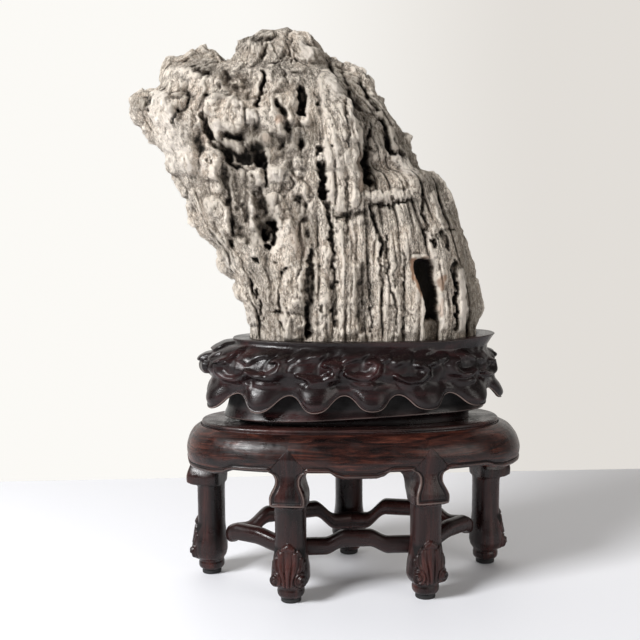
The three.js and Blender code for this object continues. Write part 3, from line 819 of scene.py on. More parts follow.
# Its caves, slots and grooves: depth, (x, z, radius) along each, share that is wall, and how strongly
# painted shade darkens it.
HOLLOWS: tuple[Hollow, ...] = (
    Hollow(6, ((-158, 390, 2.6), (-159, 381, 2.2))), Hollow(4, ((-140, 387, 7),), 1.0),
    Hollow(7, ((-134, 380, 1.5), (-138, 370, 1.8))), Hollow(8, ((-121, 411, 2.6), (-113, 407, 3.6))),
    Hollow(14, ((-96, 403, 9), (-85, 396, 13), (-79, 389, 8)), 0.95, 0.0),
    Hollow(12, ((-70, 407, 2), (-70, 392, 3), (-75, 383, 2.6)), 0.6, 0.45), Hollow(6, ((-113, 391, 2.6),)),
    Hollow(5, ((-125, 391, 1.8), (-127, 385, 1.4))), Hollow(6, ((-103, 395, 2.6),)),
    Hollow(14, ((-115, 376, 2.6), (-114, 366, 4), (-109, 357, 4), (-101, 350, 4.2)), 0.6, 0.25),
    Hollow(6, ((-118, 362, 7), (-117, 346, 6)), 1.0),
    Hollow(20, ((-98, 346, 5), (-88, 339, 7), (-77, 347, 9.5), (-71, 340, 5.5)), 0.35, 0.5),
    Hollow(10, ((-98, 360, 3), (-87, 358, 4))), Hollow(5, ((-111, 345, 1.8), (-111, 338, 1.5))),
    Hollow(6.5, ((-100, 342, 4), (-98, 322, 3.4), (-97, 310, 3.2), (-95, 295, 3),
         (-94, 286, 2.6)), 0.8, 0.12), Hollow(7, ((-89, 335, 9), (-86, 310, 9), (-85, 285, 9)), 0.6),
    Hollow(8, ((-96, 278, 3.6),)), Hollow(12, ((-74, 317, 4), (-72, 305, 7), (-69, 292, 9.5)), 0.55, 0.22),
    Hollow(24, ((-65, 292, 5.2), (-68, 286, 4.5)), 0.35, 0.95), Hollow(16, ((-67, 277, 2.9),), 0.6, 0.9),
    Hollow(16, ((-62, 279, 2.4), (-61, 288, 2.4)), 0.6, 0.9), Hollow(9, ((-69, 341, 1.7), (-69, 322, 1.7))),
    Hollow(7, ((-43, 312, 5), (-39, 308, 4.4)), 0.6, 0.45),
    Hollow(6, ((-39, 294, 5.5), (-37, 286, 4.5)), 0.8),
    Hollow(18, ((-26, 337, 3.1), (-25, 325, 3.1), (-24, 313, 2.6)), 0.35, 1.0),
    Hollow(8, ((-24, 313, 2.6), (-21, 305, 2.5), (-20, 297, 2.6), (-19, 285, 2.4),
         (-17, 272, 2.4)), 0.7, 0.3),
    Hollow(7, ((-16, 270, 2.5), (-17, 250, 2.4), (-14.5, 232, 2.8), (-15, 214, 2.6)), 0.8, 0.25),
    Hollow(9, ((-34, 273, 2), (-35, 258, 3.6), (-37, 245, 5.8), (-38, 235, 5)), 0.6),
    Hollow(12, ((-38, 232, 2.4), (-36.5, 220, 2.7), (-37, 206, 3.1)), 0.6, 0.5),
    Hollow(20, ((-42, 398, 2), (-41, 388, 4.8), (-41, 380, 3.6)), 0.35, 1.0), Hollow(8, ((-29, 385, 2.4),)),
    Hollow(9, ((-60, 385, 2.6), (-53, 375, 3.6)), 0.6, 0.4), Hollow(9, ((-52, 366, 4.2),), 0.6, 0.4),
    Hollow(7, ((-57, 350, 3.8),)),
    Hollow(3.5, ((-63, 447, 1.3), (-62, 440, 1.7), (-69, 433, 1.8), (-70, 421, 1.8)), 0.9, 0.05),
    Hollow(3.5, ((-49, 444, 1.3), (-53, 434, 1.6), (-50, 428, 1.8), (-47, 417, 1.6)), 0.9, 0.05),
    Hollow(3, ((-44, 431, 1.3), (-45, 421, 1.6), (-38, 415, 1.6)), 0.8, 0.12),
    Hollow(9, ((-42, 354, 4),), 0.6, 0.45), Hollow(11, ((-26, 350, 2.8), (-28, 345, 2)), 0.6, 0.5),
    Hollow(6, ((-20, 351, 1.5),)), Hollow(6, ((-62, 360, 2.2),)), Hollow(6, ((-77, 366, 3),)),
    Hollow(3, ((-7, 328, 1.4), (-8, 320, 1.6), (-8, 313, 1.3)), 0.8),
    Hollow(15, ((8, 349, 3), (8, 335, 3.3), (9, 325, 3.1)), 0.4, 0.5),
    Hollow(8, ((10, 353, 2.6), (11, 362, 2.3), (12, 369, 2))),
    Hollow(7, ((12, 305, 2.3), (16, 290, 2.3), (21, 279, 2.3), (20, 267, 1.8)), 0.7, 0.3),
    Hollow(6, ((12, 306, 1.8), (25, 308, 1.3), (43, 312.5, 1.2))),
    Hollow(5, ((-13, 299, 2.6), (2, 301, 2.8), (6, 304, 2.4)), 0.9),
    Hollow(8, ((-16, 416, 1.6), (-15, 403, 2), (-6, 397, 2), (-2, 387, 3.6), (4, 383, 2.5))),
    Hollow(5, ((-7, 413, 1.4), (-7, 402, 1.4))),
    Hollow(8, ((5, 404, 1.8), (11, 393, 2.8), (17, 384, 2.5)), 0.6, 0.35),
    Hollow(10, ((22, 375, 2), (25, 366, 3.1), (27, 352, 3.1), (30, 346, 2.6)), 0.6, 0.45),
    Hollow(7, ((35, 350, 2), (38, 344, 2))), Hollow(5, ((-8, 386, 1.3), (-7, 365, 1.7), (-5, 352, 1.3))),
    Hollow(6, ((53, 323, 1.7), (54, 300, 1.9), (56, 280, 1.6))),
    Hollow(8, ((61, 283, 2.1), (63, 276, 2.1)), 0.6, 0.8),
    Hollow(9, ((70, 286, 2.6), (75, 275, 2.6)), 0.6, 0.75), Hollow(4, ((60, 285, 1.3), (80, 289, 1.3))),
    Hollow(10, ((80, 263, 2.6), (81, 250, 2.3), (82, 230, 1.8), (82, 208, 2.1)), 0.6, 0.6),
    Hollow(4, ((5, 262, 4.6), (4, 230, 4.4), (6, 210, 4.4)), 0.8),
    Hollow(6, ((-78, 266, 2), (-77, 262, 1.6)), 0.6, 0.6), Hollow(5, ((-61, 262, 1.8),)),
    Hollow(6, ((-55, 259, 2.1), (-57, 255, 1.6)), 0.6, 0.6), Hollow(6, ((-76, 241, 1.8), (-77, 235, 1.4))),
    Hollow(5, ((-60, 240, 1.5), (-59, 227, 1.5))), Hollow(6, ((-63, 224, 1.2), (-57, 224, 1.4))),
    Hollow(7, ((-58, 217, 1.2), (-55, 210, 1.2))), Hollow(5, ((-73, 232, 1.5), (-73, 212, 1.8))),
    Hollow(5, ((-81, 251, 1.6), (-79, 240, 1.4))), Hollow(5, ((-25, 230, 1.4), (-25, 225, 1.4))),
    Hollow(4, ((-28, 262, 1.7),)),
    Hollow(3.5, ((10, 266, 1.0), (12, 240, 1.1), (14, 219, 1.2), (12, 208, 1.0))),
    Hollow(4, ((19, 270, 1.1), (21, 245, 1.3), (22, 231, 1.1))),
    Hollow(5, ((24, 286, 1.3), (25, 262, 1.5), (28, 242, 1.3), (32, 228, 1.0))),
    Hollow(3, ((31, 269, 0.9), (31, 244, 0.9))),
    Hollow(4, ((38, 271, 1.0), (37.5, 240, 1.2), (39.5, 224, 1.2), (38, 208, 0.9))),
    Hollow(2, ((39, 224, 0.8), (52, 217, 0.8))),
    Hollow(2, ((-56, 228, 0.7), (-45, 224, 0.7), (-36, 218, 0.7))),
    Hollow(2, ((20, 230, 1.0), (38, 228, 0.9))), Hollow(3, ((33, 228, 0.9), (33, 208, 0.9))),
)

# Its patches of colour and texture. Where patches of one kind overlap, the strongest shows.
PATCHES: dict[Kind, tuple[Patch, ...]] = {
    Kind.QUARTZ: (
        Patch(((-149, 384, 11), (-141, 364, 14), (-132, 343, 11)), 0.75), Patch(((-118, 341, 8),), 0.6),
        Patch(((-133, 408, 6), (-129, 399, 5)), 0.55), Patch(((-105, 366, 4),), 0.8),
        Patch(((-90, 383, 5), (-86, 372, 3.5)), 0.6), Patch(((-79, 376, 5), (-78, 370, 5)), 1.0),
        Patch(((-37, 431, 5.5), (-37, 423, 5)), 1.1), Patch(((-54, 442, 5),), 0.35),
        Patch(((-18, 402, 5), (-14, 393, 6)), 0.9), Patch(((-3, 379, 2.5), (0, 370, 2.5)), 0.8),
        Patch(((-62, 331, 5), (-56, 330, 6)), 0.85), Patch(((-43, 340, 5), (-43, 332, 4)), 0.6),
        Patch(((-28, 342, 3), (-14, 348, 7), (-12, 340, 8)), 0.5), Patch(((-18, 314, 5),), 0.7),
        Patch(((31, 343, 3), (39, 341, 4.5), (46, 334, 4)), 0.9), Patch(((16, 315, 5),), 0.5),
        Patch(((34, 317, 4), (41, 317, 4)), 0.5), Patch(((63, 313, 3), (69, 294, 3)), 0.6),
        Patch(((87, 256, 2.5), (88, 232, 3.6), (87, 208, 3.6)), 1.15),
        Patch(((70, 238, 2.6), (70, 212, 2.2)), 0.8), Patch(((-81, 222, 5), (-79, 211, 5)), 0.8),
        Patch(((-98, 263, 5), (-97, 255, 4)), 0.6), Patch(((-23, 218, 7),), 0.45),
        Patch(((-70, 203, 6), (-62, 203, 6)), 0.5), Patch(((-47, 206, 8),), 0.5),
        Patch(((17, 216, 4), (30, 214, 5), (48, 212, 5)), 0.5),
        Patch(((-130, 318, 3), (-128, 310, 3)), 0.5), Patch(((-79, 312, 2), (-79, 292, 2)), 0.7),
    ),
    Kind.RUST: (
        Patch(((45, 264, 2.5), (50, 247, 2.5), (53, 238, 1.6)), 1.0), Patch(((54, 264, 3.6),), 0.6),
        Patch(((69, 250, 3), (69, 243, 2.4)), 0.75), Patch(((69, 232, 1.6), (69, 222, 1.4)), 0.45),
        Patch(((-59, 371, 3.5),), 0.6), Patch(((-68, 357, 4),), 0.22),
        Patch(((-47, 285, 6), (-42, 272, 6)), 0.16), Patch(((-115, 360, 5),), 0.25),
        Patch(((4, 345, 2.5), (4, 320, 2.5)), 0.3),
    ),
    # Olive-brown colour, partly painted shade: the broad patches over the recesses darken them where shade
    # falls.
    Kind.OLIVE_AND_SHADE: (
        Patch(((-120, 416, 9), (-108, 408, 6)), 0.6), Patch(((-164, 386, 7),), 0.7),
        Patch(((-28, 430, 8), (-18, 415, 7), (0, 398, 9), (14, 380, 10), (26, 360, 10)), 0.55),
        Patch(((36, 362, 7), (47, 348, 6), (56, 330, 7), (66, 326, 7)), 0.75),
        Patch(((78, 300, 6), (88, 275, 6), (96, 250, 6), (99, 210, 7)), 0.75),
        Patch(((-88, 330, 10), (-86, 310, 10), (-84, 285, 10)), 0.6),
        Patch(((-72, 305, 9), (-70, 290, 9)), 0.7), Patch(((-43, 311, 6), (-38, 291, 6)), 0.6),
        Patch(((-100, 352, 9), (-78, 352, 14), (-55, 352, 12), (-38, 362, 9)), 0.6),
        Patch(((-96, 325, 9), (-82, 315, 14), (-70, 298, 13)), 0.5),
        Patch(((-44, 305, 8), (-38, 285, 8)), 0.45),
        Patch(((-72, 262, 9), (-68, 235, 12), (-66, 212, 12)), 0.35),
        Patch(((-120, 330, 6), (-108, 295, 6), (-96, 260, 6)), 0.3),
        Patch(((-37, 245, 6), (-37, 215, 4)), 0.7),
        Patch(((5, 262, 4.6), (4, 230, 4.4), (6, 210, 4.4)), 0.4), Patch(((8, 345, 5), (9, 325, 5)), 0.6),
        Patch(((58, 250, 3), (61, 225, 4), (60, 212, 5)), 0.7),
    ),
    Kind.SMOOTH: (
        Patch(((-149, 384, 10), (-141, 364, 14), (-132, 343, 12)), 0.85),
        Patch(((-136, 410, 8), (-120, 398, 8)), 0.6),
        Patch(((-96, 403, 10), (-85, 396, 14), (-79, 389, 9)), 0.85), Patch(((-79, 376, 5),), 1.0),
        Patch(((-104, 381, 9), (-96, 376, 12), (-92, 370, 9)), 0.8),
        Patch(((-66, 373, 9), (-60, 366, 8)), 0.45),
        Patch(((-16, 400, 10), (-11, 360, 12), (-9, 318, 11)), 0.75),
        Patch(((-74, 312, 5), (-70, 295, 8)), 0.9),
        Patch(((-110, 309, 6), (-104, 300, 8), (-101, 291, 6)), 0.6),
        Patch(((45, 250, 5), (46, 222, 7)), 0.5), Patch(((-37, 431, 5), (-17, 398, 7)), 0.9),
        Patch(((-67, 440, 6), (-54, 441, 6), (-43, 438, 5)), 0.5),
        Patch(((87, 256, 3), (88, 232, 4), (87, 208, 4)), 0.8),
    ),
    Kind.KNOBBY: (
        Patch(((-16, 402, 12), (-12, 360, 14), (-10, 325, 13), (-9, 313, 12)), 0.35),
        Patch(((31, 343, 5), (39, 341, 6), (46, 334, 6))), Patch(((16, 314, 5), (46, 318, 4))),
    ),
}


@dataclass(frozen=True)
class Fluting:
    """One pitch of the stone's flutes, in millimetres, and where its own random numbers start."""

    pitch: float
    rise: float
    cut: float
    width: float
    salt: int
    # how strongly painted shade darkens its cracks
    dark: float


@dataclass(frozen=True)
class Stone:
    """The limestone: stacked tilted sections between two edges, bent to superellipses and weathered.

    A section runs from the left edge to the right edge at one rise. The rise follows height up to the
    shoulder, and the length along each edge above it, so that the sections tilt round the peak.
    """

    node: str = "scholar_rock"
    slot: str = "limestone"
    columns: int = 424
    rows: int = 234
    front_share: float = 0.70
    power: float = 2.5
    shoulder_height: float = 391.0
    shoulder_rise: float = 0.72
    crown_fall: float = 0.36
    crown_heights: tuple[float, float] = (365.0, 430.0)
    girth_half: tuple[float, float] = (91.5, 42.0)
    fine_steps: int = 4000

    left_edge: Points = (
        (-81, 195.8), (-82, 207), (-85, 220), (-88, 228), (-92.5, 234), (-95, 246), (-99, 253),
        (-104.5, 259.5), (-109, 272), (-118, 285), (-125, 298), (-132, 311), (-139, 323.5),
        (-144.5, 336), (-147, 347), (-154, 355), (-159, 362), (-166, 374), (-170.5, 381), (-172, 391),
        (-166, 397), (-159.5, 399.5), (-154, 405), (-152, 413), (-147, 424), (-138, 425.5), (-131, 426.5),
        (-124, 427.5), (-114, 426), (-106, 422.5), (-98, 421), (-93, 427), (-90, 436), (-81, 442.5),
        (-71, 447.5),
    )
    right_edge: Points = (
        (102, 195.8), (102.6, 212), (103.2, 222), (101.5, 240), (98.5, 252), (95.5, 264), (91.5, 278),
        (86.5, 292), (80.5, 305), (75.5, 318), (73, 326), (67, 332.5), (57, 336), (52.5, 341),
        (50, 350), (45, 358.5), (38, 373), (28.5, 389), (27, 391),
        (19, 399.5), (14, 407.5), (4.5, 414.5), (-5, 421), (-13.5, 424), (-18, 427), (-22, 432),
        (-28, 438), (-36, 442.5), (-44, 445.5), (-51, 449),
    )
    half_depth: Points = (
        (0.0, 37), (0.1, 40), (0.36, 46), (0.62, 49), (0.72, 47), (0.78, 43), (0.83, 37), (0.89, 28),
        (0.95, 17), (1.0, 8),
    )
    noise: Lattice = Lattice(2024)

    def edge(self, points: Points, rise: Array) -> Array:
        """One edge of the stone.

        Args:
            points: (x, z) of the edge, from the foot up.
            rise: rises to read it at.

        Returns:
            (x, z) of the edge at each rise.
        """
        points = np.asarray(points, float)
        top = int(np.argmin(np.abs(points[:, 1] - self.shoulder_height)))
        low = self.shoulder_rise * (points[: top + 1, 1] - points[0, 1])
        low = np.maximum.accumulate(low / (points[top, 1] - points[0, 1]))
        steps = np.cumsum(np.hypot(*np.diff(points[top:], axis=0).T))
        high = mix(self.shoulder_rise, 1.0, steps / steps[-1])
        return hermite(np.concatenate([low, high]), points, rise)

    def around(self) -> tuple[Array, Array]:
        """Spaces the columns round a section of ordinary size, crowded on the front.

        Returns:
            Angle of each column, from the left edge over the front, and the girth up to it.
        """
        fine = np.linspace(0.0, TAU, self.fine_steps + 1)
        x = signed_power(-np.cos(fine), 2 / self.power) * self.girth_half[0]
        y = signed_power(-np.sin(fine), 2 / self.power) * self.girth_half[1]
        length = np.concatenate([[0.0], np.cumsum(np.hypot(np.diff(x), np.diff(y)))])
        half = length[self.fine_steps // 2]
        front = round(self.columns * self.front_share)
        back = self.columns - front
        wanted = np.concatenate([
            np.arange(front) / front * half,
            half + np.arange(back) / back * (length[-1] - half),
        ])
        return np.interp(wanted, length, fine), wanted

    def build(self) -> Piece:
        """Makes the stone's grid, weathers it and keeps its colour numbers on its points.

        Returns:
            The stone.
        """
        angle, girth = self.around()
        total = girth[-1] + (girth[-1] - girth[-2])
        rise = np.linspace(0.0, 1.0, self.rows)
        left, right = self.edge(self.left_edge, rise), self.edge(self.right_edge, rise)
        share = 0.5 + 0.5 * signed_power(-np.cos(angle), 2 / self.power)
        bow = signed_power(-np.sin(angle), 2 / self.power)
        x = mix(left[:, :1], right[:, :1], share[None])
        z = mix(left[:, 1:], right[:, 1:], share[None])
        depth = hermite(*np.asarray(self.half_depth, float).T, rise)
        y = depth[:, None] * bow[None]
        z = z - self.crown_fall * np.maximum(-y, 0.0) * smooth(z, *self.crown_heights)
        points = np.stack([x, y, z], axis=-1)
        normal = self.normals(points)
        front = smooth(-bow, 0.02, 0.45)[None] * np.ones_like(x)
        ribs_at = self.flow(x, girth[None] - total / 4, front, left, right)
        skin = StoneSkin(self.noise, points, ribs_at, total, rise[:, None] * np.ones_like(x), front)
        height, marks = skin.weather()
        forward = np.array([0.0, -1.0, 0.0])
        facing = smooth(-normal[..., 1], 0.1, 0.6)[..., None]
        heading = mix(normal, forward, facing)
        heading /= np.linalg.norm(heading, axis=-1, keepdims=True)
        points = points + heading * height[..., None]
        points[0, :, 2] = points[0, :, 2].min()
        return settle(tube("stone", points, marks), self.node, LimestoneFinish().make())

    @staticmethod
    def normals(points: Array) -> Array:
        """Normals of the grid, from the cross product of its two directions.

        Args:
            points: the grid, rows by columns by 3.

        Returns:
            A unit normal for each point, turned outwards.
        """
        around = np.roll(points, -1, axis=1) - np.roll(points, 1, axis=1)
        upward = np.gradient(points, axis=0)
        normal = np.cross(around, upward)
        normal /= np.maximum(np.linalg.norm(normal, axis=-1, keepdims=True), 1e-9)
        outward = points - points.mean(axis=1, keepdims=True)
        if np.sum(normal * outward) < 0:
            normal = -normal
        return normal

    @staticmethod
    def flow(x: Array, girth: Array, front: Array, left: Array, right: Array) -> Array:
        """Place across the grain, in millimetres.

        On the front it is x, so the grain hangs plumb, but near an edge it is measured from that edge,
        so the grain leans with it. Round the sides and the back it is the girth.

        Args:
            x: places across.
            girth: places round a section.
            front: share of the front at each point.
            left: (x, z) of the left edge at each row.
            right: (x, z) of the right edge at each row.

        Returns:
            The place across the grain of each point.
        """
        from_right = fade(right[:, :1] - x, 4.0, 75.0)
        from_left = fade(x - left[:, :1], 4.0, 75.0)
        lean = from_right * (right[:, :1] - right[0, 0]) + from_left * (left[:, :1] - left[0, 0])
        middle = 0.5 * (right[0, 0] + left[0, 0])
        return mix(girth, x - middle - lean, front)


@dataclass(frozen=True)
class StoneSkin:
    """The weathering of the stone's surface, and the numbers that its colour needs."""

    noise: Lattice
    points: Array
    across: Array
    girth: float
    rise: Array
    front: Array
    boldness: float = 1.35
    proud_limit: float = 12.0
    pocket_depth: float = 7.0
    front_swell: float = 3.8
    back_swell: float = 6.5
    grit: float = 0.45
    wobble: tuple[float, float] = (2.2, 2.6)
    wobble_pitch: float = 11.0
    block_size: float = 17.0
    flake_size: float = 7.0
    crumb_stretch: float = 2.1

    flutings: tuple[Fluting, ...] = (
        Fluting(14.0, 4.4, 3.4, 1.1, 0, 1.0),
        Fluting(5.4, 1.1, 1.3, 0.8, 40, 0.85),
        Fluting(2.3, 0.32, 0.35, 0.6, 80, 0.35),
    )

    def weather(self) -> tuple[Array, dict[str, Array]]:
        """Weathers the plain surface.

        Returns:
            Height of the weathered skin above the plain stone, and the numbers kept for its colour, among
            them painted shade in its creases and a painted highlight on its crests.
        """
        x, z = self.points[..., 0], self.points[..., 2]
        wobble_x = self.noise.rough(self.points / self.wobble_pitch, 3, 0.45)
        wobble_z = self.noise.rough(self.points / self.wobble_pitch + 31.0, 3, 0.45)
        loose_x, loose_z = x + self.wobble[0] * wobble_x, z + self.wobble[1] * wobble_z
        cover = self.covers(loose_x + 1.2 * wobble_z, loose_z + 1.5 * wobble_x)
        plain = 1.0 - 0.6 * cover[Kind.SMOOTH]
        ribbed = self.ribbed(x, z) * (1.0 - 0.5 * cover[Kind.KNOBBY])
        rib_height, rib_crack = self.ribs(z, ribbed)
        crumb_height, crumb_crack = self.crumbs(ribbed, cover[Kind.SMOOTH])
        proud = self.knobs(loose_x, loose_z)
        sunk, cave_shade = self.carve(wobble_x, wobble_z)
        terrace = self.terrace(x + 1.5 * wobble_x, z + 2.0 * wobble_z) * self.front
        swell = mix(self.back_swell, self.front_swell, self.front)
        swell = swell * self.noise.rough(self.points / np.array([24.0, 24.0, 40.0]) + 5.0, 2)
        quiet = 1.0 - 0.7 * smooth(sunk, 4.0, 12.0)
        skin = (rib_height + crumb_height) * quiet + swell
        height = proud + terrace + skin * mix(0.35, 1.0, smooth(self.rise, 0.0, 0.035)) - sunk
        height = height * mix(0.4, 1.0, smooth(self.rise, 0.0, 0.02))
        height = height * mix(0.5, 1.0, fade(self.rise, 0.98, 1.0))
        height = np.minimum(height, mix(0.6, 40.0, smooth(self.rise, 0.015, 0.06)))
        height += self.grit * self.noise.rough(self.points / np.array([2.2, 2.2, 3.4]), 2, 0.7) * plain
        narrow = spread(height, 2) - height
        wide = spread(height, 9) - height
        cracks = 0.50 * np.maximum(rib_crack, crumb_crack) * plain
        # Painted shade: crease darkens the skin where it dips below its surroundings, in the cracks and in
        # the caves.
        crease = 0.34 * smooth(narrow, 0.2, 1.5) + 0.26 * smooth(wide, 1.0, 6.0) + cave_shade + cracks
        # Painted highlight: the skin is paled where it stands above its surroundings, and on proud knobs.
        crest_highlight = 0.7 * smooth(-narrow, 0.1, 1.1) + 0.4 * smooth(-wide, 0.8, 4.5)
        crest_highlight = crest_highlight + 0.25 * smooth(proud, 4.0, 12.0)
        marks = {
            "crease": np.clip(crease, 0.0, 1.2),
            "crest_highlight": np.clip(crest_highlight, 0.0, 1.2),
            "ribbed": ribbed,
            "quartz": cover[Kind.QUARTZ],
            "rust": cover[Kind.RUST],
            "olive_and_shade": np.maximum(cover[Kind.OLIVE_AND_SHADE], self.shaded_side()),
            "flow": np.stack([self.across, np.zeros_like(x), z], -1) * MILLIMETRE,
        }
        return height, marks

    def covers(self, x: Array, z: Array) -> dict[Kind, Array]:
        """How strongly the patches of each kind cover each point.

        Args:
            x: places across.
            z: places up.

        Returns:
            One field for each kind.
        """
        return {
            kind: self.front * np.max([patch.cover(x, z) for patch in patches], axis=0)
            for kind, patches in PATCHES.items()
        }

    def knobs(self, x: Array, z: Array) -> Array:
        """Height of the knobs and ribs, made uneven and eased towards a limit.

        Args:
            x: places across.
            z: places up.

        Returns:
            The height, 0 between the knobs.
        """
        uneven = mix(0.75, 1.25, self.noise.lumps(self.points / 7.0 + 23.0, 2))
        proud = self.boldness * uneven * sum(lump.rise(x, z) for lump in LUMPS) * self.front
        return self.proud_limit * np.tanh(proud / self.proud_limit)

    def carve(self, wobble_x: Array, wobble_z: Array) -> tuple[Array, Array]:
        """Caves, slots and grooves with ragged walls on the front, and shallow pockets behind.

        Args:
            wobble_x: noise that moves the lines across.
            wobble_z: noise that moves them up.

        Returns:
            Depth of the carving, and how strongly painted shade darkens it.
        """
        x, z = self.points[..., 0], self.points[..., 2]
        ragged = self.noise.rough(self.points / 4.0 + 7.0, 2, 0.6)
        loose_x = x + self.wobble[0] * wobble_x + 1.5 * ragged
        loose_z = z + self.wobble[1] * wobble_z - 1.5 * ragged
        broken = mix(0.62, 1.1, smooth(self.noise.rough(self.points / 9.0 + 13.0, 2), -0.45, 0.35))
        sunk, cave_shade = np.zeros_like(x), np.zeros_like(x)
        for hollow in HOLLOWS:
            fall = hollow.fall(loose_x, loose_z) * broken
            sunk = np.maximum(sunk, fall)
            # Painted shade, darkest in the deepest part of each hollow.
            cave_shade = np.maximum(cave_shade, hollow.dark * smooth(fall, 0.35 * hollow.depth, 0.95 * hollow.depth))
        window = self.window(x + 1.1 * wobble_x + 0.5 * ragged, z + 3.0 * wobble_z)
        pockets = self.noise.rough(self.points / np.array([11.0, 11.0, 19.0]) + 211.0, 2)
        pockets = smooth(pockets, 0.32, 0.62) * (1.0 - self.front) * smooth(self.rise, 0.02, 0.08)
        sunk = np.maximum(np.maximum(sunk, window) * self.front, self.pocket_depth * pockets)
        # The tall slot is darkened by painted shade too.
        return sunk, np.maximum(cave_shade, 0.9 * smooth(window, 8.0, 22.0)) * self.front

    def shaded_side(self) -> Array:
        """Olive-brown painted shade on the right side and the back, away from the window lamp.

        Returns:
            How strongly it shows at each point.
        """
        x, y = self.points[..., 0], self.points[..., 1]
        patchy = 0.5 + 0.5 * self.noise.rough(self.points / 26.0, 3)
        return smooth(y, -12.0, 12.0) * mix(0.1, 0.4, patchy) * (0.4 + 0.6 * smooth(x, -60.0, 60.0))

    def ribbed(self, x: Array, z: Array) -> Array:
        """How strongly the stone is fluted: fully at the lower right, round the back and on the sides.

        Args:
            x: places across.
            z: places up.

        Returns:
            The strength, from 0 to 1.
        """
        wander = 12.0 * self.noise.rough(self.points / 30.0, 2)
        right = smooth(x + 0.30 * (z - 290.0) + wander, -46.0, -12.0)
        peak = smooth(z - 0.9 * x + wander, 385.0, 430.0)
        front = right * mix(1.0, 0.6, smooth(z, 315.0, 350.0)) * (1.0 - 0.8 * peak)
        low_left = 0.75 * fade(z, 275.0, 345.0)
        return mix(0.8 - 0.35 * peak, np.maximum(front, np.maximum(low_left, 0.22)), self.front)

    def ribs(self, z: Array, strength: Array) -> tuple[Array, Array]:
        """Broken slabs and flutes between cracks, at each pitch of fluting.

        Across the grain the surface is cut into cells of uneven width. Each cell is a slab with its own
        height and slant, which wander along the grain, and a crack opens and closes between two cells.

        Args:
            z: height of each point.
            strength: how strongly the stone is fluted there.

        Returns:
            Height of the fluting, and how much each point lies in a crack.
        """
        total, cracks = np.zeros_like(z), np.zeros_like(z)
        for fluting in self.flutings:
            salt = fluting.salt
            count = round(self.girth / fluting.pitch)
            pitch = self.girth / count
            slow = np.stack([self.across / 26.0, z / 70.0], -1)
            quick = np.stack([self.across / 5.0, z / 16.0], -1)
            wander = 3.0 * self.noise.rough(slow + salt, 2) + 0.9 * self.noise.rough(quick + salt, 3, 0.65)
            place = (self.across + wander * min(1.0, pitch / 6.0)) / pitch
            near, far = np.full(z.shape, np.inf), np.full(z.shape, np.inf)
            owner, aside = np.zeros_like(z), np.zeros_like(z)
            for offset in (-1, 0, 1):
                cell = np.floor(place) + offset
                wrapped = np.mod(cell, count)[..., None]
                middle = cell + 0.5 + 0.45 * (2.0 * self.noise.draw(wrapped, salt + 5) - 1.0)
                away = np.abs(place - middle)
                far = np.minimum(far, np.maximum(near, away))
                owner = np.where(away < near, wrapped[..., 0], owner)
                aside = np.where(away < near, place - middle, aside)
                near = np.minimum(near, away)
            gap = (far - near) * pitch / 2.0
            level = self.noise.rough(np.stack([owner * 3.7 + salt, z / (6.0 * pitch)], -1), 2, 0.6)
            slant = 2.0 * self.noise.draw(owner[..., None], salt + 9) - 1.0
            spell = np.stack([self.across / (0.8 * pitch), z / (3.5 * pitch)], -1) + 9.0 + salt
            crack = bell(gap, 0.0, fluting.width) * smooth(self.noise.swell(spell), -0.35, 0.5)
            slab = level + 0.9 * slant * aside + 0.35 * smooth(gap, 0.0, 0.3 * pitch)
            total += fluting.rise * slab - fluting.cut * crack
            cracks = np.maximum(cracks, crack * fluting.dark)
        return total * strength, cracks * smooth(strength, 0.1, 0.8)

    def crumbs(self, ribbed: Array, smoothness: Array) -> tuple[Array, Array]:
        """Tilted blocks and flakes, small knobs and folds, drawn out upwards, where it isn't fluted.

        Args:
            ribbed: how strongly the stone is fluted.
            smoothness: how strongly smooth patches cover it.

        Returns:
            Height of the crumbs, and how much each point lies in a crease between them.
        """
        tall = np.array([1.0, 1.0, self.crumb_stretch])
        bent = self.points + 3.2 * self.noise.swell(self.points / 8.0 + 50.0)[..., None]
        gap, slab = self.noise.pebbles(bent / (self.block_size * tall) + 3.0)
        block = smooth(gap, 0.0, 0.20)
        gap, chip = self.noise.pebbles(bent / (self.flake_size * tall) + 9.0)
        flake = smooth(gap, 0.0, 0.20)
        knobs = self.noise.lumps(bent / (10.0 * tall), 3, 0.5)
        long_folds = np.abs(self.noise.swell(bent / np.array([6.5, 6.5, 15.0]) + 71.0)) ** 0.75
        short_folds = np.abs(self.noise.swell(bent / np.array([3.2, 3.2, 7.0]) + 113.0)) ** 0.75
        loose = mix(1.0, 0.3, ribbed) * (1.0 - 0.7 * smoothness)
        height = 1.8 * (block - 0.8) + 4.6 * block * slab + 0.5 * (flake - 0.8) + 1.9 * flake * chip
        height = height + 0.7 * (knobs - 0.45) + 1.3 * (long_folds - 0.4) + 0.9 * (short_folds - 0.4)
        crease = np.maximum(0.9 * fade(block, 0.0, 0.5), 0.5 * fade(flake, 0.0, 0.5))
        crease = np.maximum(crease, 0.6 * fade(long_folds, 0.03, 0.22))
        return height * loose, crease * loose

    @staticmethod
    def window(x: Array, z: Array) -> Array:
        """The tall slot near the right foot, between two edges that lean apart.

        Args:
            x: places across.
            z: places up.

        Returns:
            Depth of the slot, 0 outside it.
        """
        left = np.interp(z, [205, 230, 245, 266], [55, 55, 51, 44.5])
        right = np.interp(z, [205, 235, 250, 262], [68, 67, 64, 61.5])
        head = np.interp(x, [43, 47, 52, 62], [260, 264, 265.5, 263])
        inside = smooth(x - left, 0.0, 1.4) * smooth(right - x, 0.0, 1.4)
        inside = inside * smooth(head - z, 0.0, 1.6) * smooth(z, 196.0, 200.0)
        return inside * mix(8.0, 27.0, smooth(z, 216.0, 219.0))

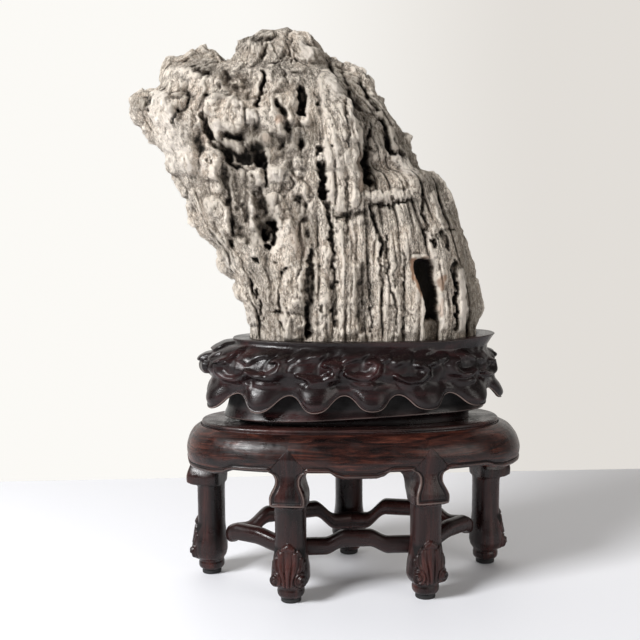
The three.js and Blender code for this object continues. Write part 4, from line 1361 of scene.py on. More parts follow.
    @staticmethod
    def terrace(x: Array, z: Array) -> Array:
        """Step down to the right of the front slab's sharp edge, which heals over about 40 mm.

        Args:
            x: places across.
            z: places up.

        Returns:
            Height of the step, 0 or less.
        """
        edge = np.interp(z, [320, 362, 370, 380, 392, 398, 408, 422], [4, 5, 1, -3, -5, -8, -18, -22])
        step = smooth(x - edge, 0.0, 2.5) * fade(x - edge, 8.0, 46.0)
        return -8.5 * step * smooth(z, 312.0, 330.0) * fade(z, 418.0, 430.0)


# ---- The stand's shared lines ----


@dataclass(frozen=True)
class Oval:
    """A superellipse outline seen from above."""

    x: float
    y: float
    shift: float = 0.0
    power: float = 2.3
    fine_steps: int = 6000

    def point(self, angle: Array) -> Array:
        """Points of the outline, where |cos|^p + |sin|^p is brought to 1.

        Args:
            angle: eccentric angles.

        Returns:
            (x, y) at each angle.
        """
        c, s = np.cos(angle), np.sin(angle)
        reach = (np.abs(c) ** self.power + np.abs(s) ** self.power) ** (-1.0 / self.power)
        return np.stack([self.x * c * reach + self.shift, self.y * s * reach], axis=-1)

    def speed(self, angle: float) -> float:
        """How fast the outline runs at an angle.

        Args:
            angle: eccentric angle, in radians.

        Returns:
            Length of outline for each radian, in millimetres.
        """
        step = 0.01
        run = self.point(np.array(angle + step)) - self.point(np.array(angle - step))
        return float(np.hypot(*run) / (2.0 * step))

    def even(self, count: int) -> tuple[Array, Array]:
        """Spaces angles evenly along the outline, from its +X end.

        Args:
            count: how many angles.

        Returns:
            The angles, and the length of outline up to each.
        """
        fine = np.linspace(0.0, TAU, self.fine_steps + 1)
        steps = np.hypot(*np.diff(self.point(fine), axis=0).T)
        length = np.concatenate([[0.0], np.cumsum(steps)])
        wanted = np.arange(count) / count * length[-1]
        return np.interp(wanted, length, fine), wanted


@dataclass(frozen=True)
class LegPlace:
    """Where a leg stands on the ring, which way it faces, and how high the rail behind it lies."""

    name: str
    turn: float
    facing: float
    rail_height: float
    rail_shift: tuple[float, float] = (0.0, 0.0)


@dataclass(frozen=True)
class Carcass:
    """Lines that the aprons and the legs share, in stand millimetres."""

    ring: Oval = Oval(137.5, 73.0, 3.0)
    board: Oval = Oval(122.4, 58.6)
    arch: float = 104.5
    drop: float = 99.8
    top: float = 131.6
    mitre_top: float = 122.16
    shoulder_half: float = 16.0
    mitre_tip: float = 0.3
    joint: float = 0.04
    set_back: float = 14.5
    leg_depth: float = 25.0
    overhang: float = 15.0
    bulge: Points = (
        (-0.1, 0.15), (0.0, 0.10), (0.16, 0.04), (0.34, 0.0), (0.6, 0.12), (0.84, 0.42), (1.0, 0.9),
    )
    collar_foot: float = 77.8
    collar: Points = (
        (77.8, 14.0), (79.2, 14.7), (84, 14.9), (88, 13.9), (92, 12.0), (96, 10.7), (99, 10.6),
        (101.5, 11.5), (103.2, 13.0), (104.1, 14.6), (104.5, 16.0),
    )

    def on_ring(self, angle: Array, inset: Array, z: Array) -> Array:
        """Points between the ring's widest line (inset 0) and the board's edge (inset 1)."""
        plan = mix(self.ring.point(angle), self.board.point(angle), inset[..., None])
        return np.concatenate([plan, z[..., None]], axis=-1)

    def shoulder(self, z: Array) -> Array:
        """Half width of the leg's shoulder, narrowing to a tip between two straight mitres."""
        climb = np.clip((z - self.arch) / (self.mitre_top - self.arch), 0.0, 1.0)
        return mix(self.shoulder_half, self.mitre_tip, climb)

    def inset(self, share: Array) -> Array:
        """Inset of the bulging face at a share of the apron's height."""
        return hermite(*np.asarray(self.bulge).T, share)

    def side(self, z: Array) -> Array:
        """Half width of the leg's bell-shaped collar."""
        return hermite(*np.asarray(self.collar, float).T, z)

    def edge_gap(self, across: Array, z: Array, low: Array) -> Array:
        """Distance to the carcass's lower outline: the apron's edge, the collar's side or its foot.

        Args:
            across: distance from the leg's middle line.
            z: height.
            low: height of the apron's edge.

        Returns:
            The distance, in millimetres, never below 0.
        """
        inward, above = np.maximum(self.shoulder_half - across, 0.0), np.maximum(z - self.arch, 0.0)
        inner = np.minimum(0.9 * (self.side(z) - across), z - self.collar_foot)
        inner = np.where(z > self.arch, np.hypot(inward, above), inner)
        return np.maximum(np.where(across > self.shoulder_half, z - low, inner), 0.0)

    @staticmethod
    def lip(gap: Array) -> Array:
        """Height of the raised lip along the lower outline, with a fine groove inside it."""
        rounding = -1.0 * fade(gap, 0.0, 1.4)
        return rounding + 0.7 * fade(gap, 2.5, 3.6) - 0.55 * bell(gap, 4.0, 0.6)

    @staticmethod
    def wear_and_highlight(gap: Array) -> Array:
        """How much the ridge of the lip is paled: a painted highlight, partly rubbed wear."""
        return bell(gap, 1.7, 0.75)


CARCASS = Carcass()
LEGS = (
    LegPlace("front_left", 246.0, 258.0, 37.5),
    LegPlace("front_right", 292.7, 282.0, 37.5),
    LegPlace("right", 22.7, 20.0, 37.0, (4.5, -5.0)),
    LegPlace("back", 90.0, 90.0, 35.0),
    LegPlace("left", 162.5, 160.0, 37.0, (-7.0, -6.0)),
)


# ---- Aprons ----


@dataclass(frozen=True)
class Apron:
    """A bulging apron between two legs, hung lowest in its middle, with a lip along its lower edge."""

    name: str
    start: LegPlace
    end: LegPlace
    face_rows: int = 66
    back_rows: int = 10
    crowding: float = 1.5
    pitch: float = 0.85
    back_inset: float = 0.96
    face_limit: float = 0.94

    def build(self, material: Material) -> Piece:
        """Carries the apron's closed profile from one mitre to the other.

        Args:
            material: the finish.

        Returns:
            The dressed piece.
        """
        first, turn = radians(self.start.turn), radians((self.end.turn - self.start.turn) % 360.0)
        speeds = CARCASS.ring.speed(first), CARCASS.ring.speed(first + turn)
        stations = round(turn * 0.5 * sum(speeds) / self.pitch)
        share = np.linspace(0.0, 1.0, stations)[:, None]
        middle = np.abs(2.0 * share - 1.0)
        lift = 0.3 * smooth(middle, 0.30, 0.46) + 0.7 * smooth(middle, 0.44, 0.60)
        low = mix(CARCASS.drop, CARCASS.arch, lift)
        climb = (np.linspace(0.0, 1.0, self.face_rows) ** self.crowding)[None]
        down = np.linspace(1.0, 0.0, self.back_rows)[None]
        height = np.concatenate([climb, down], axis=1)
        z = mix(low, CARCASS.top, height)
        room = np.where(z > CARCASS.mitre_top, CARCASS.joint, CARCASS.shoulder(z) + CARCASS.joint)
        angle = mix(first + room / speeds[0], first + turn - room / speeds[1], share)
        across = np.minimum((angle - first) * speeds[0], (first + turn - angle) * speeds[1])
        gap = CARCASS.edge_gap(across, z, low)
        lip = CARCASS.lip(gap)
        face = np.concatenate([np.ones(self.face_rows), np.zeros(self.back_rows)])[None]
        inset = CARCASS.inset((z - low) / (CARCASS.top - low)) - lip / CARCASS.overhang
        inset = mix(self.back_inset, np.minimum(inset, self.face_limit), face)
        points = CARCASS.on_ring(angle, inset, z)
        grain = np.stack([angle * 100.0, z, 12.0 * inset + 50.0 * (first + turn)], axis=-1) * MILLIMETRE
        marks = {
            "grain": grain,
            # Painted shade in the groove inside the lip, and a painted highlight, partly rubbed wear, along
            # the lip.
            "carved": 0.8 * face * bell(gap, 4.0, 0.7),
            "wear_and_highlight": 0.55 * face * CARCASS.wear_and_highlight(gap),
        }
        piece = tube(f"{self.name}_apron", points, marks)
        return settle(piece, f"apron_{self.name}", material)


# ---- Legs ----


@dataclass(frozen=True)
class Leg:
    """A leg with a ringed toe, a carved palmette, a plain shaft, a bell collar and a mitred shoulder.

    Each section is a rounded rectangle. The straight leg stands square to the way it faces, and above
    the collar it turns into the ring's own bend.
    """

    spot: LegPlace
    columns: int = 168
    crowding: float = 0.42
    heights: tuple[tuple[float, float, int], ...] = (
        (4.3, 12.0, 14), (12.0, 50.0, 82), (50.0, 76.5, 12), (76.5, 122.2, 96),
    )
    sections: Points = (
        # height, front half width, back half width, outward, inward, squareness
        (4.3, 8.8, 8.8, 8.8, 8.8, 2.2), (5.0, 9.6, 9.6, 9.6, 9.6, 2.2),
        (7.0, 10.5, 10.5, 10.5, 10.4, 2.2), (9.5, 10.8, 10.6, 10.6, 10.4, 2.2),
        (11.3, 10.2, 10.0, 10.1, 9.9, 2.3), (12.6, 11.0, 10.8, 10.6, 10.2, 2.5),
        (15.5, 13.8, 13.4, 12.4, 11.6, 2.6), (20.0, 15.3, 14.7, 13.4, 12.4, 2.6),
        (25.0, 15.2, 14.6, 13.2, 12.3, 2.6), (35.0, 13.8, 13.2, 11.6, 11.6, 2.5),
        (45.0, 12.6, 12.0, 10.5, 11.2, 2.4), (54.0, 12.3, 11.9, 10.3, 11.1, 2.4),
        (75.6, 12.4, 11.9, 10.5, 11.1, 2.4), (76.6, 12.7, 12.0, 11.1, 11.0, 2.8),
        (77.6, 13.9, 12.3, 15.2, 11.0, 5.0), (79.0, 14.7, 12.8, 16.8, 11.0, 6.0),
        (86.0, 14.8, 13.8, 17.0, 11.0, 7.0), (97.0, 10.6, 12.0, 15.8, 11.0, 9.0),
        (104.5, 16.0, 16.0, 15.0, 11.0, 40.0), (123.0, 4.0, 4.0, 15.0, 11.0, 40.0),
    )
    leaves: tuple[Lump, ...] = (
        Lump(2.5, ((0, 41.5, 3.7), (0, 34, 3.3), (0, 26, 2.3), (0, 15, 1.5))),
        Lump(2.4, ((6.0, 39.5, 3.4), (6.0, 33, 3.0), (4.4, 25, 2.1), (2.6, 15, 1.3))),
        Lump(2.2, ((11.2, 35.5, 3.0), (10.4, 30.5, 2.6), (7.8, 25, 1.9), (5.0, 16, 1.2))),
        Lump(3.0, ((0, 45.2, 3.4), (3.4, 43.8, 2.4)), 0.5),
        Lump(2.0, ((8.0, 42.0, 1.8), (10.4, 39.4, 1.5)), 0.5),
        Lump(1.6, ((14.6, 33.0, 2.0), (13.4, 29.0, 1.6)), 0.5),
    )
    volute: tuple[float, float, float] = (11.0, 20.0, 6.9)

    def palmette(self, across: Array, z: Array) -> Array:
        """Relief of the foot: radiating leaves, a curled tip, and a spiral boss at each lower corner.

        Args:
            across: distance across the leg's face.
            z: height.

        Returns:
            Height of the relief.
        """
        aside = np.abs(across)
        relief = np.max([leaf.rise(aside, z) for leaf in self.leaves], axis=0)
        x, middle, radius = self.volute
        reach = np.hypot(aside - x, z - middle)
        bend = np.arctan2(z - middle, aside - x)
        dome = 3.0 * np.clip(1.0 - (reach / radius) ** 2, 0.0, 1.0) ** 0.5
        coil = 0.9 * np.cos(TAU * reach / 3.8 + bend) * fade(reach, 5.4, 6.6)
        inside = fade(reach, radius - 0.3, radius + 0.5)
        return mix(relief, dome + coil, inside)

    def build(self, material: Material) -> Piece:
        """Stacks the leg's sections and carves its foot and the lip of its collar.

        Args:
            material: the finish.

        Returns:
            The dressed piece.
        """
        top = self.heights[-1][1]
        z = [np.linspace(low, high, count, endpoint=high == top) for low, high, count in self.heights]
        z = np.concatenate(z)[:, None]
        turn = np.linspace(0.0, TAU, self.columns, endpoint=False)
        turn = (turn + self.crowding * np.cos(turn))[None]
        table = np.asarray(self.sections, float)
        front, back, out, inward, power = hermite(table[:, 0], table[:, 1:], z[:, 0]).T[..., None]
        reach = (np.abs(np.cos(turn)) ** power + np.abs(np.sin(turn)) ** power) ** (-1.0 / power)
        aside, ahead = reach * np.cos(turn), reach * np.sin(turn)
        belled = smooth(z, 76.8, 78.0) * smooth(ahead, -0.9, 0.2)
        half = mix(mix(back, front, 0.5 + 0.5 * ahead), CARCASS.side(z), belled)
        half = np.where(z > CARCASS.arch, CARCASS.shoulder(z), half)
        side = half * aside
        depth = np.where(ahead > 0, out, inward) * ahead
        wrapped = side + np.sign(side) * 0.8 * np.maximum(out - depth, 0.0)
        carved = self.palmette(wrapped, z) * smooth(ahead, -0.2, 0.35) * fade(z, 49.5, 51.0)
        carved = carved * smooth(z, 11.8, 13.6)
        side, depth = side + carved * np.cos(turn), depth + carved * np.sin(turn)
        gap = CARCASS.edge_gap(np.abs(side), z, np.full_like(z, CARCASS.arch))
        facing = smooth(ahead, 0.55, 0.9)
        collar = smooth(z, CARCASS.collar_foot - 0.4, CARCASS.collar_foot + 0.4)
        lip = CARCASS.lip(gap) * facing * collar
        axis, outward, sideways = leg_frame(self.spot)
        heights = np.broadcast_to(z, side.shape)
        plan = axis + sideways * side[..., None] + outward * (depth + lip)[..., None]
        straight = np.concatenate([plan, heights[..., None]], axis=-1)
        angle = radians(self.spot.turn)
        ring_depth = float(np.hypot(*(CARCASS.ring.point(angle) - CARCASS.board.point(angle))))
        face = CARCASS.inset((z - CARCASS.arch) / (CARCASS.top - CARCASS.arch)) - lip / CARCASS.overhang
        inset = mix(face, CARCASS.leg_depth / ring_depth, 0.5 - 0.5 * ahead)
        bent = CARCASS.on_ring(angle - side / CARCASS.ring.speed(angle), inset, heights)
        points = mix(straight, bent, smooth(z, 81.0, 106.0)[..., None])
        # Painted shade in the groove inside the collar's lip and between the palmette's leaves.
        groove = facing * collar * bell(gap, 4.0, 0.7)
        foot = smooth(z, 12.0, 14.0) * fade(z, 42.0, 48.0) * smooth(ahead, 0.0, 0.5)
        leafy = fade(np.abs(wrapped) - 0.55 * (z - 12.0), 0.0, 3.0)
        hollow = 0.9 * foot * leafy * fade(carved, 0.2, 1.1)
        grain = np.stack([heights, side + 40.0 * self.spot.turn, depth], axis=-1) * MILLIMETRE
        marks = {
            "grain": grain,
            "carved": 0.8 * groove + hollow,
            # Painted highlight, partly rubbed wear, on the collar's lip and on the leaves that stand
            # proudest.
            "wear_and_highlight": 0.8 * CARCASS.wear_and_highlight(gap) * facing * collar + 0.2 * foot * smooth(carved, 1.5, 2.6),
        }
        piece = tube(f"{self.spot.name}_leg", points, marks)
        return settle(piece, f"leg_{self.spot.name}", material)


def leg_frame(spot: LegPlace) -> tuple[Array, Array, Array]:
    """Where a leg's own directions lie.

    Args:
        spot: where the leg stands.

    Returns:
        Its axis seen from above, the way it faces, and the way across it.
    """
    facing = radians(spot.facing)
    outward = np.array([np.cos(facing), np.sin(facing)])
    axis = CARCASS.ring.point(np.array(radians(spot.turn))) - CARCASS.set_back * outward
    return axis, outward, np.array([outward[1], -outward[0]])


@dataclass(frozen=True)
class Pad:
    """A round black pad under a foot."""

    spot: LegPlace
    radius: float = 8.0
    columns: int = 48
    profile: Points = (
        # height, outset from the pad's radius
        (0.0, -0.7), (0.25, -0.2), (0.8, 0.0), (1.9, 0.0), (2.1, -0.15), (2.3, 0.0), (3.4, 0.0),
        (3.9, -0.25), (4.0, -0.7),
    )

    def build(self, material: Material) -> Piece:
        """Turns the pad's profile about the leg's axis.

        Args:
            material: the finish.

        Returns:
            The dressed piece.
        """
        axis = leg_frame(self.spot)[0]
        turn = np.linspace(0.0, TAU, self.columns, endpoint=False)[None]
        z, outset = np.asarray(self.profile, float).T[..., None]
        radius = self.radius + outset
        x, y = axis[0] + radius * np.cos(turn), axis[1] + radius * np.sin(turn)
        points = np.stack([x, y, np.broadcast_to(z, x.shape)], axis=-1)
        piece = tube(f"{self.spot.name}_pad", points)
        return settle(piece, f"foot_pad_{self.spot.name}", material)


# ---- Stretchers ----


@dataclass(frozen=True)
class Stretcher:
    """A humpbacked rail behind two legs, bent round the corner behind each and split there."""

    name: str
    index: int
    hump: float
    climb: tuple[float, float, float, float]
    corner_back: float = 17.3
    bend: float = 8.0
    half_height: float = 6.9
    half_depth: float = 6.1
    power: float = 2.5
    stations: int = 120
    columns: int = 56
    fine_steps: int = 1200
    joint: float = 0.1

    def corner(self, index: int) -> Array:
        """Corner of the ring of rails behind a leg.

        Args:
            index: number of the leg, which may run past the last one.

        Returns:
            (x, y) of the corner.
        """
        spot = LEGS[index % len(LEGS)]
        axis, outward, _ = leg_frame(spot)
        return axis - self.corner_back * outward + np.array(spot.rail_shift)

    def build(self, material: Material) -> Piece:
        """Carries a rounded section along half a bend, a straight run and half a bend.

        Args:
            material: the finish.

        Returns:
            The dressed piece.
        """
        before, start, end, after = (self.corner(self.index + step) for step in (-1, 0, 1, 2))
        run = end - start
        length = float(np.hypot(*run))
        heading = np.arctan2(run[1], run[0])
        turns = [wrap(np.arctan2(*leg[::-1]) - heading) for leg in (start - before, after - end)]
        trims = [self.bend * np.tan(abs(turn) / 2.0) for turn in turns]
        arcs = [self.bend * abs(turn) / 2.0 for turn in turns]
        straight = length - sum(trims)
        total = straight + sum(arcs)
        path = np.linspace(self.joint, total - self.joint, self.stations)
        lead, tail = np.clip(arcs[0] - path, 0.0, None), np.clip(path - arcs[0] - straight, 0.0, None)
        course = heading + np.sign(turns[0]) * lead / self.bend + np.sign(turns[1]) * tail / self.bend
        fine = np.linspace(0.0, total, self.fine_steps + 1)
        fine_course = np.interp(fine, path, course)
        steps = np.stack([np.cos(fine_course), np.sin(fine_course)], axis=-1) * (fine[1] - fine[0])
        line = np.concatenate([np.zeros((1, 2)), np.cumsum(0.5 * (steps[1:] + steps[:-1]), axis=0)])
        middle = start + run / length * (trims[0] + straight / 2.0)
        halfway = np.array([np.interp(arcs[0] + straight / 2.0, fine, line[:, axis]) for axis in range(2)])
        line = line + middle - halfway
        plan = np.stack([np.interp(path, fine, line[:, axis]) for axis in range(2)], axis=-1)
        share = (path - self.joint) / (total - 2.0 * self.joint)
        ends = LEGS[self.index].rail_height, LEGS[(self.index + 1) % len(LEGS)].rail_height
        rise = smooth(share, *self.climb[:2]) * fade(share, *self.climb[2:])
        height = mix(mix(ends[0], ends[1], share), self.hump, rise)
        turn = np.linspace(0.0, TAU, self.columns, endpoint=False)
        side = self.half_depth * signed_power(np.cos(turn), 2.0 / self.power)[None]
        up = self.half_height * signed_power(np.sin(turn), 2.0 / self.power)[None]
        left = np.stack([-np.sin(course), np.cos(course)], axis=-1)
        flat = plan[:, None] + left[:, None] * side[..., None]
        points = np.concatenate([flat, (height[:, None] + up)[..., None]], axis=-1)
        full = np.ones_like(flat[..., 0])
        grain = np.stack([path[:, None] * full + 90.0 * self.index, up * full, side * full], axis=-1)
        piece = tube(f"{self.name}_stretcher", points, {"grain": grain * MILLIMETRE})
        return settle(piece, f"stretcher_{self.name}", material)


def wrap(angle: float) -> float:
    """The same angle between minus and plus half a turn."""
    return float((angle + np.pi) % TAU - np.pi)


# ---- Top board and socket ----


@dataclass(frozen=True)
class TopBoard:
    """The oval board inside the apron ring, with a rounded lip."""

    columns: int = 720
    profile: Points = (
        # height, inset from the board's edge
        (123.6, 0.6), (124.0, 0.0), (127.0, 0.0), (130.0, 0.0), (131.4, 0.0), (132.0, 0.35), (132.3, 0.35),
        (132.7, 0.05), (133.4, 0.0), (134.2, 0.25), (134.75, 0.8), (135.0, 1.7), (135.0, 4.0), (135.0, 9.0),
        (135.0, 16.0), (135.0, 30.0),
    )

    def build(self, material: Material) -> Piece:
        """Carries the profile round the oval.

        Args:
            material: the finish.

        Returns:
            The dressed piece.
        """
        angle, along = CARCASS.board.even(self.columns)
        rows = []
        for z, inset in self.profile:
            plan = Oval(CARCASS.board.x - inset, CARCASS.board.y - inset).point(angle)
            rows.append(np.concatenate([plan, np.full((self.columns, 1), z)], axis=1))
        points = np.stack(rows)
        grain = points[..., [0, 2, 1]] * MILLIMETRE
        # Pale line on the rounded top edge: a painted highlight, partly rubbed wear.
        wear_and_highlight = np.repeat(bell(np.asarray(self.profile)[:, 1:], 0.5, 0.6), self.columns, axis=1)
        wear_and_highlight = 0.45 * wear_and_highlight * (points[..., 2] > 134.0)
        piece = tube("oval_board", points, {"grain": grain, "wear_and_highlight": wear_and_highlight})
        return settle(piece, "top_board", material)


@dataclass(frozen=True)
class Socket:
    """The carved block: a plinth, a scalloped skirt, a band of cloud scrolls, a flared rim and a hollow.

    Each row of the profile is an oval with a height, and with how far the skirt's wave moves it out and
    up. The wave has thirteen lobes, crowded towards the right. The plinth's foot and the rim both
    climb a little towards the right end. A strip of rows starts from the last row of the one before.
    """

    columns: int = 610
    lobes: int = 13
    phase: float = 0.028
    crowding: float = 0.068
    foot_climb: float = 5.4
    rim_climb: float = 2.6
    middle_line: Oval = Oval(118.0, 57.0, 1.0)
    start: tuple[float, ...] = (95, 43, 3, 135.3, 0, 0)
    strips: tuple[tuple[int, Points], ...] = (
        # rows between the listed ones, then: half length, half width, shift, height, out, up
        (1, ((95, 43, 3, 138.9, 0, 0), (105.6, 51.4, 3, 138.6, 0, 0), (107.0, 52.6, 3, 138.9, 0, 0),
             (107.3, 52.8, 3, 139.7, 0, 0), (106.7, 52.4, 3, 140.7, 0, 0))),
        (2, ((105.2, 51.4, 3, 144, 0, 0), (103.6, 50.2, 3, 149, 0, 0), (102.6, 49.4, 3, 156, 0, 0),
             (103.2, 49.6, 3, 161.6, 0, 0), (106.0, 51.2, 2.8, 164.6, 0, 0))),
        (3, ((111.0, 54.0, 2.4, 163.0, 0.6, -1.4), (115.2, 56.6, 2.1, 158.8, 2.4, -5.0),
             (116.8, 57.6, 2, 155.7, 3.3, -6.5), (117.4, 58.0, 2, 155.1, 3.6, -6.7))),
        (2, ((118.3, 58.6, 2, 154.9, 3.8, -6.7), (119.0, 59.1, 2, 155.3, 4.0, -6.6),
             (119.1, 59.1, 2, 156.0, 4.0, -6.5), (118.6, 58.7, 2, 156.7, 3.9, -6.3))),
        (5, ((119.5, 59.3, 2, 160.2, 4.7, -5.0), (118.2, 58.2, 1.6, 164.6, 3.9, -2.8),
             (116.4, 56.7, 1.2, 168.4, 2.2, -1.0), (115.8, 56.1, 0.7, 171.2, 1.0, 0))),
        (8, ((117.0, 56.6, 0, 174.2, 0.3, 0), (118.2, 57.0, -0.8, 178, 0, 0),
             (117.8, 56.6, -0.8, 182.5, 0, 0), (115.4, 55.2, 0, 187, 0, 0),
             (110.6, 52.4, 2, 191.5, 0, 0), (107.8, 50.6, 5, 195, 0, 0))),
        (3, ((106.6, 49.7, 9, 198, 0, 0), (107.1, 49.9, 10.8, 200.3, 0, 0),
             (107.6, 50.2, 11.2, 201.3, 0, 0), (107.1, 49.8, 11.2, 201.85, 0, 0),
             (105.8, 48.9, 11.2, 202.0, 0, 0))),
        (1, ((98, 43, 10.8, 201.9, 0, 0), (94.2, 39.7, 10.5, 201.7, 0, 0),
             (93.2, 38.7, 10.5, 201.0, 0, 0), (93.0, 38.5, 10.5, 199.0, 0, 0),
             (93.0, 38.5, 10.5, 195.5, 0, 0))),
    )
    scroll: tuple[Lump, ...] = (
        Lump(4.6, ((-17, -3.0, 2.2), (-10, -6.5, 3.6), (-1, -7.5, 4.4), (6.5, -3.5, 4.4), (8.5, 2.0, 3.9),
                   (5.0, 5.8, 3.2), (0.6, 5.4, 2.3)), 1.0),
        Lump(3.2, ((-17, 8.0, 4.6), (-7, 11.0, 5.4)), 1.3),
        Lump(2.8, ((13.0, 7.5, 4.0), (17.5, 9.0, 4.2)), 1.3),
        Lump(3.0, ((-12.0, -12.0, 4.6), (0.0, -14.0, 5.2)), 1.3),
    )
    cuts: tuple[Hollow, ...] = (
        Hollow(1.4, ((-5.5, -1.8, 1.6), (-5.0, 3.6, 1.8), (-1.5, 8.2, 1.6)), 1.0),
        Hollow(1.2, ((12.5, -1.0, 2.0), (14.0, 2.6, 2.0)), 1.0),
    )
    left_knobs: tuple[Lump, ...] = (
        Lump(6.2, ((23, 191.6, 6.4), (35, 191.6, 6.4)), 0.16),
        Lump(5.6, ((-20, 191.6, 6.0), (-31, 191.5, 5.6)), 0.2),
        Lump(3.6, ((-8, 193.2, 4.8), (12, 193.2, 4.8)), 0.14),
        Lump(9.5, ((-9, 195.9, 3.5), (13, 195.9, 3.5)), 0.2),
        Lump(4.6, ((-9, 181.0, 7.4), (8, 181.0, 7.6)), 0.10),
        Lump(8.6, ((-9, 186.8, 3.4), (8, 186.8, 3.4)), 0.2),
    )
    dimples: tuple[Hollow, ...] = (
        Hollow(2.8, ((28, 190.0, 3.2),), 0.9), Hollow(2.0, ((4, 181.0, 3.2),), 0.9),
    )
    right_knob: Lump = Lump(3.6, ((-4, 187.0, 4.5), (6, 185.5, 5.0)), 0.5)
    scroll_count: int = 15
    scroll_height: float = 181.0
    scroll_reach: float = 26.0
    noise: Lattice = Lattice(77)

    def profile(self) -> Array:
        """Every row of the profile, with smooth curves between the listed rows of each strip.

        Returns:
            The rows, with the columns of the listed ones.
        """
        rows, first = [], self.start
        for between, strip in self.strips:
            table = np.asarray([first, *strip], float)
            place = np.arange(len(table), dtype=float)
            wanted = np.arange((len(table) - 1) * (between + 1)) / (between + 1)
            rows.append(hermite(place, table, wanted))
            first = strip[-1]
        return np.concatenate([*rows, np.asarray([first], float)])

    def scrolls(self, along: Array, z: Array, length: float) -> Array:
        """Relief of the cloud scrolls, with every other one set a little lower.

        Args:
            along: places along the block's outline.
            z: height.
            length: length of the whole outline.

        Returns:
            Height of the relief.
        """
        relief = np.zeros_like(along * z)
        places = np.stack(np.broadcast_arrays(along / 9.0, z / 9.0), axis=-1)
        wander = 2.0 * self.noise.swell(places)
        for index in range(self.scroll_count):
            jitter = self.noise.draw(np.array([[float(index)]]), 3)[0] - 0.5
            middle = (index + 0.5 + 0.25 * jitter) * length / self.scroll_count
            across = (along - middle + length / 2) % length - length / 2
            lift = self.scroll_height + (1.4 if index % 2 else -1.6) + 2.4 * jitter
            size = 1.0 + 0.35 * jitter
            u = (across + wander) / size * (-1.0 if index % 5 == 3 else 1.0)
            v = (z - lift + 0.7 * wander) / size
            knobs = np.max([lump.rise(u, v) for lump in self.scroll], axis=0)
            dips = np.max([cut.fall(u, v) for cut in self.cuts], axis=0)
            relief = np.where(np.abs(across) < self.scroll_reach, np.maximum(relief, knobs) - dips, relief)
        return relief

    def build(self, material: Material) -> Piece:
        """Carries the profile round the block, waves its skirt and carves its band.

        Args:
            material: the finish.

        Returns:
            The dressed piece.
        """
        angle, along = self.middle_line.even(self.columns)
        length = along[-1] * self.columns / (self.columns - 1)
        lap = along / length
        wave = np.cos(TAU * (self.lobes * lap + self.crowding * np.sin(TAU * (lap - 0.75)) + self.phase))
        wave = np.tanh(0.8 * wave + 0.10) / np.tanh(0.8)
        half_x, half_y, shift, z, out, up = (column[:, None] for column in self.profile().T)
        oval = Oval(1.0, 1.0, 0.0).point(angle)
        plan_x = half_x * oval[:, 0] + shift
        z = z + up * wave
        climb = self.foot_climb * smooth(plan_x, -90.0, 70.0)
        z = z + climb * fade(z, 141.0, 154.0) * smooth(z, 138.0, 138.5)
        z = z + self.rim_climb * smooth(plan_x, 70.0, 118.0) * smooth(z, 194.0, 201.0) * (half_x > 95.0)
        band = smooth(z, 163.0, 172.0) * fade(z, 191.5, 197.0)
        left = np.abs(along[None] - length / 2)
        band = band * smooth(left, 14.0, 32.0)
        relief = spread(self.scrolls(along[None], z, length), 1) * band
        heights = np.broadcast_to(z, relief.shape)
        places = np.stack([np.broadcast_to(along / 11.0, relief.shape), heights / 8.0], axis=-1)
        swell = self.noise.swell(places)
        carving = relief + 1.3 * swell * smooth(z, 163.0, 170.0) * fade(z, 193.0, 198.0)
        carving = carving + 0.25 * swell
        carving = (carving + self.ends(along[None], z, length)) * (half_x > 106.3)
        x = (half_x + out * wave + carving) * oval[:, 0] + shift
        y = (half_y + out * wave + carving) * oval[:, 1]
        points = np.stack([x, y, heights], axis=-1)
        # Painted shade between the scrolls and under the skirt's arches.
        hollow = fade(relief, -0.8, 0.9) * smooth(z, 172.0, 176.0) * fade(z, 186.0, 191.0)
        under = (half_x < 116.0) * smooth(z, 143.0, 153.0) * fade(z, 164.5, 166.0)
        rows = np.arange(len(half_x))[:, None]
        # Pale lines along the skirt's hem, the rim and the plinth's foot: a painted highlight, partly
        # rubbed wear.
        hem = bell(rows, self.row_of(3, 2), 1.9)
        brim = bell(rows, self.row_of(6, 3), 1.6)
        sole = bell(rows, self.row_of(0, 4), 1.2)
        marks = {
            "grain": points[..., [0, 2, 1]] * MILLIMETRE,
            "carved": np.clip(0.45 * hollow * (left > 24.0) + under, 0.0, 1.0),
            "wear_and_highlight": (1.5 * hem + 0.45 * brim + 0.6 * sole) * np.ones_like(x),
        }
        piece = tube("carved_socket", points, marks)
        return settle(piece, "socket_base", material)

    def row_of(self, strip: int, listed: int) -> int:
        """Number of the grid row that a strip's listed row became."""
        before = sum(len(table) * (between + 1) for between, table in self.strips[:strip])
        return before + listed * (self.strips[strip][0] + 1)

    def ends(self, along: Array, z: Array, length: float) -> Array:
        """Bold knobs at the two ends of the block: stepped ones on the left and one on the right.

        Args:
            along: places along the block's outline.
            z: height.
            length: length of the whole outline.

        Returns:
            Height of the knobs.
        """
        right = (along + length / 2) % length - length / 2
        left = along - length / 2
        knobs = np.max([lump.rise(left, z) for lump in self.left_knobs], axis=0)
        return knobs - sum(dimple.fall(left, z) for dimple in self.dimples) + self.right_knob.rise(right, z)


